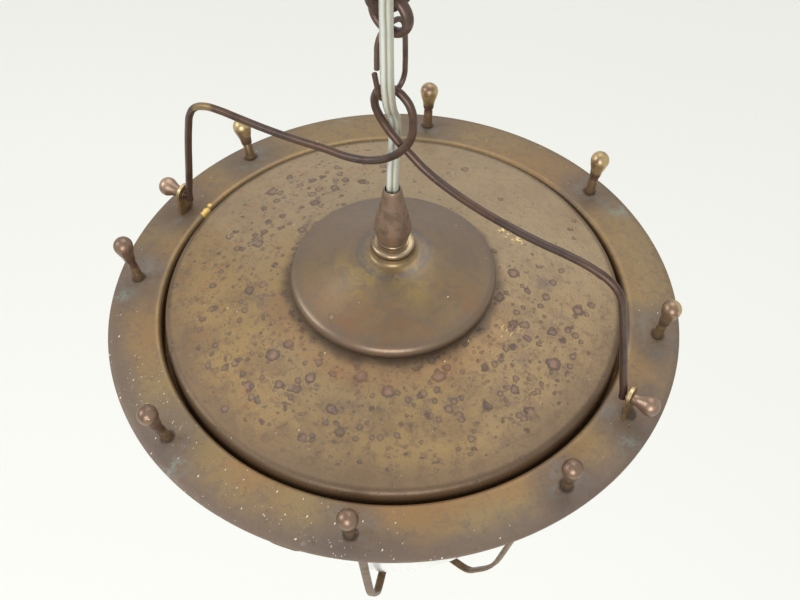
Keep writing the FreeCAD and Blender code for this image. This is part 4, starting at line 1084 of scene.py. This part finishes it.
@dataclass
class Cradle:
    """The eight strap arms under the crown, each one a foot, a leaning leg and a curl in to the lower hub."""

    width: float = 4.2
    thick: float = 2.0
    first: float = 22.5
    count: int = 8
    ends: tuple[Pair, Pair] = ((125.5, -1.44), (9.5, -178.0))
    corners: tuple[Triple, ...] = (
        (113.2, 1.17, 3.3), (82.0, -124.0, 100.0), (64.0, -155.0, 26.0), (22.0, -178.0, 14.0))

    def path(self) -> list[Pair]:
        """The strap's middle line as (radius, height) points, with every corner rounded."""
        knots = [Vector(point[:2]) for point in (self.ends[0], *self.corners, self.ends[1])]
        line = [tuple(knots[0])]
        for before, corner, after, (_, _, bend) in zip(knots, knots[1:], knots[2:], self.corners):
            into, out = (corner - before).normalized(), (after - corner).normalized()
            turn = math.acos(max(-1.0, min(1.0, into.dot(out))))
            start = corner - into * bend * math.tan(turn / 2)
            across = Vector((-into.y, into.x)) * math.copysign(1.0, into.x * out.y - into.y * out.x)
            steps = max(4, int(math.degrees(turn) / 4))
            for k in range(steps + 1):
                angle = turn * k / steps
                point = start + into * bend * math.sin(angle) + across * bend * (1 - math.cos(angle))
                line.append(tuple(point))
        return line + [tuple(knots[-1])]

    def build(self) -> list[bpy.types.Object]:
        """Bend one strap, copy it round, and fix every copy under the crown."""
        master = Workbench.strap("arm_strap", self.path(), self.width, self.thick)
        arms = []
        for k in range(self.count):
            arm = Workbench.copied(master, "arm_strap_%d" % (k + 1))
            turn = Matrix.Rotation(math.radians(self.first + 360.0 / self.count * k), 4, "Z")
            arm.matrix_world = Matrix.Translation(at(0, 0, 0)) @ turn
            Workbench.settle(arm, 50.0)
            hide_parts("cradle_arm_%d" % (k + 1))
            arms.append(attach(arm, "crown"))
        bpy.data.objects.remove(master)
        return arms


@dataclass
class PivotKnob:
    """A pear-shaped pivot knob whose stud runs inwards through tab, washer and the bail's leg."""

    side: str
    out: float = 117.95
    height: float = 14.0
    rings: tuple[Ring, ...] = (
        (POLE, -5.95), (0.85, -5.95), (1.0, -5.75), (1.0, -0.05), (2.3, 0.0), (2.5, 0.4), (2.45, 1.0),
        (2.5, 2.0), (2.75, 3.1), (3.15, 4.2), (3.62, 5.3), (4.08, 6.3), (4.40, 7.2), (4.5, 8.1), (4.4, 9.1),
        (4.05, 10.1), (3.45, 11.0), (2.65, 11.7), (1.7, 12.15), (0.8, 12.4), (POLE, 12.45))

    def build(self) -> bpy.types.Object:
        """Turn the knob and lay it in its pivot."""
        piece = Workbench.spun("pivot_ball_" + self.side, self.rings, 36, False)
        right = self.side == "right"
        lay = Matrix.Rotation(math.radians(90 if right else -90), 4, "Y")
        piece.matrix_world = Matrix.Translation(at(self.out if right else -self.out, 0, self.height)) @ lay
        Workbench.settle(piece)
        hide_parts("pivot_knob_" + self.side)
        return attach(piece, "pivot_" + self.side)


@dataclass
class CoverShell:
    """The shallow coned cover with its rounded shoulder and standing wall."""

    rings: tuple[Ring, ...] = (
        (5.1, 29.86), (20.0, 26.47), (43.0, 21.24), (60.0, 17.38), (80.0, 12.84), (93.0, 9.89), (98.4, 8.66),
        (101.0, 8.04), (102.1, 7.62), (102.85, 7.0), (103.3, 6.1), (103.48, 5.0), (103.5, 3.4), (103.5, -1.0),
        (103.5, -4.0), (103.5, -7.35), (103.3, -7.5), (102.5, -7.5), (102.3, -7.3), (102.3, -2.0),
        (102.3, 4.0), (101.9, 5.4), (100.8, 6.35), (99.3, 7.0), (80.0, 11.6), (60.0, 16.15), (40.0, 20.7),
        (20.0, 25.2), (5.1, 28.6))

    def build(self) -> bpy.types.Object:
        """Spin the cover and set it on the cover body."""
        piece = Workbench.lathe("cover_shell", self.rings, 256, waves=0.14)
        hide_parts("cover")
        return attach(piece, "cover")


@dataclass
class CapStack:
    """The cap, collar ring, grooved neck and cord nozzle on the cover's middle."""

    cap: tuple[Ring, ...] = (
        (43.6, 21.2), (44.7, 22.0), (45.4, 23.1), (45.7, 24.4), (45.6, 25.7), (45.05, 26.9), (44.1, 27.7),
        (42.8, 28.2), (39.0, 29.7), (35.0, 31.4), (30.2, 33.65), (25.0, 36.2), (20.0, 38.45), (17.0, 39.6),
        (15.0, 40.15), (12.0, 40.55), (10.6, 40.85), (9.9, 41.5), (9.6, 42.5), (9.4, 43.71), (5.1, 43.71),
        (5.1, 38.9), (15.0, 38.9), (20.0, 37.2), (30.2, 32.4), (39.0, 28.5), (42.6, 26.9), (44.2, 25.7),
        (44.5, 24.4), (44.1, 23.0), (42.4, 21.6))
    ring: tuple[Ring, ...] = (
        (5.1, 43.75), (8.0, 43.75), (8.8, 43.95), (9.35, 44.5), (9.6, 45.3), (9.35, 46.15), (8.8, 46.7),
        (8.0, 46.88), (5.1, 46.88))
    neck: tuple[Ring, ...] = (
        (5.1, 46.92), (6.8, 46.95), (7.0, 47.25), (6.95, 47.6), (6.2, 47.75), (6.1, 48.1), (6.2, 48.4),
        (6.65, 48.5), (6.72, 48.9), (6.5, 49.25), (5.1, 49.28))
    nozzle: tuple[Ring, ...] = (
        (5.05, 49.35), (6.4, 49.4), (6.8, 50.3), (7.45, 52.5), (7.95, 54.8), (8.1, 56.2), (8.0, 57.6),
        (7.6, 59.8), (7.0, 62.8), (6.35, 66.0), (5.7, 69.2), (5.05, 72.4), (4.45, 75.6), (4.1, 77.8),
        (3.9, 79.0), (3.62, 79.41), (3.25, 79.3), (3.05, 78.8), (3.05, 70.0), (3.05, 57.35), (5.05, 57.3))

    def build(self) -> dict[str, bpy.types.Object]:
        """Spin the four pieces and set them on the cover body."""
        pieces = {}
        for name, rings, slot, segments, waves in (
                ("cap", self.cap, "cap_brass", 160, 0.10), ("collar_ring", self.ring, "turned_brass", 72, 0.0),
                ("collar_neck", self.neck, "turned_brass", 72, 0.0),
                ("nozzle", self.nozzle, "turned_brass", 72, 0.0)):
            piece = Workbench.lathe(name + "_turned", rings, segments, waves=waves)
            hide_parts(name)
            pieces[name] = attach(piece, "cover")
        return pieces


@dataclass
class Bail:
    """The bent wire bail, from the left leg over the front of the crossing and the loop to the right leg."""

    wire: float = 1.7
    line: tuple[Triple, ...] = (
        (-113.5, 0.0, 11.5), (-113.4, 0.0, 16.6), (-112.2, 0.0, 24.0), (-110.6, 0.0, 36.0),
        (-108.8, 0.0, 50.0), (-106.6, 0.0, 63.5), (-105.0, 0.0, 70.5), (-101.4, 0.0, 76.6),
        (-95.5, 0.0, 80.2), (-88.5, 0.0, 81.5), (-78.0, -0.1, 82.0), (-62.0, -0.4, 82.9), (-46.0, -0.8, 84.8),
        (-32.4, -1.3, 87.2), (-19.0, -1.9, 89.2), (-8.0, -1.95, 93.2), (0.5, -1.9, 99.4), (6.4, -1.9, 106.8),
        (9.8, -1.7, 114.0), (10.5, -1.2, 121.0), (9.4, -0.6, 127.5), (6.2, -0.2, 132.0), (1.0, 0.0, 134.3),
        (-4.4, 0.2, 132.2), (-7.6, 0.7, 127.4), (-8.4, 1.2, 121.5), (-6.9, 1.7, 116.0), (-3.8, 1.9, 111.0),
        (1.0, 1.9, 106.0), (7.0, 1.9, 101.4), (14.4, 1.7, 96.2), (25.1, 1.3, 91.6), (39.3, 0.8, 87.8),
        (53.3, 0.4, 85.6), (67.1, 0.1, 84.3), (80.6, 0.0, 83.8), (91.6, 0.0, 82.2), (99.6, 0.0, 79.0),
        (104.4, 0.0, 73.6), (106.4, 0.0, 66.0), (108.2, 0.0, 54.2), (110.5, 0.0, 38.0), (112.3, 0.0, 24.0),
        (113.4, 0.0, 16.6), (113.5, 0.0, 11.5))

    def build(self) -> bpy.types.Object:
        """Bend the wire and hang it on the bail body."""
        piece = Workbench.wire("bail_wire", [at(*point) for point in self.line], self.wire)
        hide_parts("bail")
        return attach(piece, "bail")


@dataclass
class Chain:
    """The light open link and the heavy round link between bail and hook."""

    open_radius: float = 1.1
    open_turn: float = 80.0
    open_line: tuple[Pair, ...] = (
        (-9.5, 147.9), (-8.9, 144.6), (-8.2, 140.6), (-7.6, 136.6), (-5.4, 132.9), (-2.0, 131.3),
        (2.0, 131.3), (5.6, 132.8), (7.7, 136.4), (8.1, 141.0), (8.2, 148.6), (8.0, 156.5), (7.6, 161.0),
        (5.3, 164.6), (2.0, 166.0), (-2.0, 166.0), (-5.3, 164.6), (-7.5, 161.0), (-8.0, 156.0),
        (-8.15, 149.4))
    heavy_turn: float = -8.0
    heavy_centre: float = 170.7
    heavy_mean: float = 8.1
    heavy_section: float = 1.8
    heavy_width: float = 2.5

    def open_link(self) -> bpy.types.Object:
        """Bend the open link in its own upright plane."""
        turn = math.radians(self.open_turn)
        points = [at(s * math.cos(turn), s * math.sin(turn), h) for s, h in self.open_line]
        piece = Workbench.wire("open_link_wire", points, self.open_radius)
        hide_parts("open_link")
        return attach(piece, "open_link")

    def heavy_link(self) -> bpy.types.Object:
        """Flatten a ring to the heavy link's section and stand it in its plane."""
        Workbench.clear()
        bpy.ops.mesh.primitive_torus_add(major_radius=self.heavy_mean * MM, major_segments=96,
                                         minor_radius=self.heavy_section * MM, minor_segments=28)
        piece = bpy.context.object
        piece.name = piece.data.name = "heavy_link_forged"
        for vertex in piece.data.vertices:
            vertex.co.z *= self.heavy_width / self.heavy_section
        Workbench.wavy(piece, 0.10, 0.012)
        turn = Matrix.Rotation(math.radians(self.heavy_turn), 4, "Z")
        stand = Matrix.Rotation(math.radians(90), 4, "X")
        piece.matrix_world = Matrix.Translation(at(0, 0, self.heavy_centre)) @ turn @ stand
        Workbench.settle(piece, 60.0)
        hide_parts("heavy_link")
        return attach(piece, "heavy_link")


class Stretch(Enum):
    """The four stretches of cord: node, lower body, upper body, and its route as (front, height) points."""

    LOWER = ("cord_lower", "crown", "bail", ((0.0, 74.0), (0.0, 88.0), (-12.0, 107.0), (-1.5, 120.0)))
    LOOP = ("cord_loop", "bail", "open_link", ((-1.5, 120.0), (9.0, 133.0), (9.68, 151.0)))
    CHAIN = ("cord_chain", "open_link", "heavy_link",
             ((9.68, 151.0), (10.096, 162.0), (9.45, 173.0), (9.88, 184.0)))
    UPPER = ("cord_upper", "heavy_link", "ceiling_fitting",
             ((9.88, 184.0), (10.505, 200.0), (15.4, 214.0), (15.4, 224.0)))


@dataclass
class FlatCord:
    """The clear flat twin cord, in stretches that each bend over one joint."""

    width: float = 5.4
    thick: float = 2.7
    groove: float = 0.32
    turn: float = -68.0
    around: int = 36
    held: float = 0.08
    groove_width: float = 0.55
    lengths: dict[str, float] = field(default_factory=lambda: {
        "cord_lower": 50.9, "cord_loop": 34.2, "cord_chain": 33.0, "cord_upper": 40.7})

    def point(self, front: float, height: float) -> Vector:
        """A point of the cord's upright plane, in metres."""
        turn = math.radians(self.turn)
        return at(front * math.cos(turn), front * math.sin(turn), height)

    def centre_line(self, route: Sequence[Pair]) -> list[Vector]:
        """The smooth line that follows a route's points.

        Args:
            route: (front distance, height) points in millimetres.

        Returns:
            Points read from the route's own spline, in metres.
        """
        curve = bpy.data.curves.new("route", "CURVE")
        curve.dimensions = "3D"
        spline = curve.splines.new("NURBS")
        spline.points.add(len(route) - 1)
        for knot, step in zip(spline.points, route):
            knot.co = (*self.point(*step), 1.0)
        spline.order_u = 3
        spline.use_endpoint_u = True
        spline.resolution_u = 16
        holder = bpy.data.objects.new("route", curve)
        mesh = bpy.data.meshes.new_from_object(holder)
        line = [vertex.co.copy() for vertex in mesh.vertices]
        bpy.data.objects.remove(holder)
        bpy.data.meshes.remove(mesh)
        bpy.data.curves.remove(curve)
        return line

    def section(self) -> list[Pair]:
        """The two-lobed section as (across, out) pairs in millimetres."""
        flat, half = (self.width - self.thick) / 2, self.thick / 2
        outline = []
        for step in range(self.around):
            angle = 2 * math.pi * step / self.around
            across = (flat + half) * math.cos(angle)
            inside = max(abs(across) - flat, 0.0)
            out = math.sqrt(max(half ** 2 - inside ** 2, 0.0))
            dip = self.groove * math.exp(-(across / self.groove_width) ** 2)
            outline.append((across, math.copysign(max(out - dip, 0.0), math.sin(angle))))
        return outline

    def build(self, stretch: Stretch) -> bpy.types.Object:
        """Args:
            stretch: Which stretch to build.

        Returns:
            The cord piece.
        """
        node, low_body, high_body, route = stretch.value
        line = self.centre_line(route)
        turn = math.radians(self.turn)
        across = Vector((-math.sin(turn), math.cos(turn), 0))
        section = self.section()
        count = len(section)
        vertices, travelled, seen = [], [], 0.0
        for k, place in enumerate(line):
            ahead = line[min(k + 1, len(line) - 1)] - line[max(k - 1, 0)]
            out = across.cross(ahead.normalized()).normalized()
            vertices += [place + across * (a * MM) + out * (o * MM) for a, o in section]
            seen += (place - line[k - 1]).length if k else 0.0
            travelled.append(seen)
        faces = []
        for k in range(len(line) - 1):
            low, high = k * count, (k + 1) * count
            faces += [(low + j, low + (j + 1) % count, high + (j + 1) % count, high + j) for j in range(count)]
        faces += [tuple(range(count))[::-1], tuple((len(line) - 1) * count + j for j in range(count))]
        mesh = bpy.data.meshes.new(node + "_flex")
        mesh.from_pydata(vertices, [], faces)
        maps = mesh.uv_layers.new(name="UVMap")
        for loop in mesh.loops:
            k, j = divmod(loop.vertex_index, count)
            maps.data[loop.index].uv = (section[j][0] / self.width + 0.5, travelled[k])
        piece = bpy.data.objects.new(node + "_flex", mesh)
        bpy.context.collection.objects.link(piece)
        Workbench.face_out(piece)
        bpy.ops.object.shade_smooth_by_angle(angle=math.radians(60))
        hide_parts(node)
        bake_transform(piece)
        return piece


@dataclass
class Globe:
    """The opal globe with its straight neck and beaded rim."""

    radius: float = 75.0
    wall: float = 2.2
    centre: float = -93.0
    neck: float = 40.0
    neck_height: float = 12.0
    bead: float = 1.6
    steps: int = 40

    def arc(self, radius: float, opening: float) -> list[Ring]:
        """Points from beside the bottom up to the neck's opening, both radii in millimetres."""
        top = math.degrees(math.acos(opening / radius))
        turns = [math.radians(-90 + (90 + top) * k / self.steps) for k in range(1, self.steps + 1)]
        return [(radius * math.cos(turn), self.centre + radius * math.sin(turn)) for turn in turns]

    def rings(self) -> list[Ring]:
        """The globe's closed outline, outside then inside."""
        inner, neck_in = self.radius - self.wall, self.neck - self.wall
        outline = [(POLE, self.centre - self.radius)] + self.arc(self.radius, self.neck)
        rim = outline[-1][1] + self.neck_height
        outline += [(self.neck, rim - 3.2), (self.neck + 0.9, rim - 2.9), (self.neck + self.bead, rim - 1.6),
                    (self.neck + 0.9, rim - 0.35), (self.neck - 0.4, rim), (neck_in + 0.2, rim - 0.1),
                    (neck_in, rim - 0.5)]
        outline += self.arc(inner, neck_in)[::-1]
        return outline + [(POLE, self.centre - inner)]

    def build(self) -> bpy.types.Object:
        """Blow the globe and hang it on the cover body."""
        piece = Workbench.lathe("opal_globe", self.rings(), 128, closed=False)
        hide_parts("glass_globe")
        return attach(piece, "cover")


@dataclass(frozen=True)
class SoftLight:
    """One square soft light: its place and side in metres, its power in watts, and its colour."""

    name: str
    place: Triple
    side: float
    power: float
    colour: Triple

    def hang(self, aim: Vector) -> None:
        """Hang the light so that it faces a point."""
        data = bpy.data.lights.new(self.name, "AREA")
        data.size = self.side
        data.energy = self.power
        data.color = self.colour
        lamp = bpy.data.objects.new(self.name, data)
        lamp.location = self.place
        lamp.rotation_euler = (aim - lamp.location).to_track_quat("-Z", "Y").to_euler()
        bpy.context.collection.objects.link(lamp)


@dataclass
class Studio:
    """Floor, soft lights, background and camera: places in metres, turns in degrees, lens in millimetres."""

    floor_level: float = -1.35
    floor_side: float = 14.0
    aim: Triple = (0.0, 0.0, -0.25)
    lights: tuple[SoftLight, ...] = (
        SoftLight("front_window", (0.9, -1.7, 0.55), 1.3, 26.0, (1.0, 0.995, 0.98)),
        SoftLight("left_window", (-1.6, -0.9, 0.9), 1.1, 14.0, (0.98, 0.99, 1.0)),
        SoftLight("over_fill", (-0.3, 1.2, 1.9), 1.8, 16.0, (1.0, 0.99, 0.97)))
    background: Colour = (1.0, 1.0, 0.985, 1.0)
    brightness: float = 0.72
    lens: float = 61.915
    sensor: float = 36.0
    nearest: float = 0.01
    camera_place: Triple = (0.206064, -0.338916, 0.239367)
    camera_turn: Triple = (39.261621, 0.143825, 30.695139)

    def floor(self) -> bpy.types.Object:
        """Lay a wide floor well below the lamp."""
        Workbench.clear()
        bpy.ops.mesh.primitive_grid_add(x_subdivisions=8, y_subdivisions=8, size=self.floor_side,
                                        location=(0, 0, self.floor_level))
        piece = bpy.context.object
        piece.name = piece.data.name = "studio_floor"
        bpy.ops.object.transform_apply(location=True, rotation=True, scale=True)
        return piece

    def camera(self) -> None:
        """Set up the camera and look through it."""
        camera = bpy.data.cameras.new("camera")
        camera.lens = self.lens
        camera.sensor_width = self.sensor
        camera.clip_start = self.nearest
        eye = bpy.data.objects.new("camera", camera)
        eye.location = self.camera_place
        eye.rotation_euler = [math.radians(a) for a in self.camera_turn]
        bpy.context.collection.objects.link(eye)
        bpy.context.scene.camera = eye
        bpy.context.scene.view_settings.view_transform = "Standard"

    def build(self) -> bpy.types.Object:
        """Set up background, lights and camera, and return the floor."""
        world = bpy.data.worlds.new("studio")
        world.use_nodes = True
        backdrop = world.node_tree.nodes["Background"]
        backdrop.inputs[0].default_value = self.background
        backdrop.inputs[1].default_value = self.brightness
        bpy.context.scene.world = world
        for light in self.lights:
            light.hang(Vector(self.aim))
        self.camera()
        return self.floor()


def main() -> None:
    """Build every sub-assembly in order and dress it."""
    logging.basicConfig(level=logging.INFO, format="%(name)s: %(message)s")
    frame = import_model()
    Workbench.dress([Studio().build()], StudioFloor().build())
    Workbench.dress([FlatCord().build(stretch) for stretch in Stretch], ClearSheath().build())
    Workbench.dress([Crown().build()], CrownPatina().build())
    Workbench.dress(CrownKnobs().build(), KnobBrass().build())
    pivot_brass = Finish.PIVOT.value.build()
    Workbench.dress([PivotKnob(side).build() for side in ("right", "left")], pivot_brass)
    Workbench.dress([CoverShell().build()], CoverPatina().build())
    stack = CapStack().build()
    Workbench.dress([stack["cap"]], CapPatina().build())
    Workbench.dress([stack["collar_ring"], stack["collar_neck"]], Finish.COLLAR.value.build())
    Workbench.dress([stack["nozzle"]], Finish.NOZZLE.value.build())
    Workbench.dress([Bail().build()], DarkWire().build())
    link_wire = Finish.LINK.value.build()
    Workbench.dress([Chain().open_link(), Chain().heavy_link()], link_wire)
    Workbench.dress([Globe().build()], OpalGlass().build())
    strap_brass = Finish.STRAP.value.build()
    Workbench.dress(Cradle().build(), strap_brass)
    for material, names in (
            (link_wire, ["ceiling_hook", "ceiling_cup"]),
            (Finish.TAB.value.build(), ["bail_tabs"]),
            (pivot_brass, ["pivot_washers"]),
            (strap_brass, ["lower_hub", "hub_rivets", "bottom_finial"]),
            (Finish.SPUN.value.build(), ["gallery", "gallery_screws", "centre_tube", "holder_cap",
                                         "holder_skirt", "thread_shell", "spreader", "centre_contact"]),
            (Finish.PLATED.value.build(), ["arm_nuts", "tube_nuts", "finial_nut", "hook_nuts",
                                           "ceiling_plate", "hook_bridge", "bulb_cap"]),
            (FrostedBulb().build(), ["bulb_glass"]),
            (Finish.PORCELAIN.value.build(), ["holder_insert"]),
            (Finish.PLASTIC.value.build(), ["cord_grip", "cord_bush", "terminal_block", "inner_leads"])):
        Workbench.dress([frame["nodes"][name] for name in names], material)


if __name__ == "__main__":
    main()
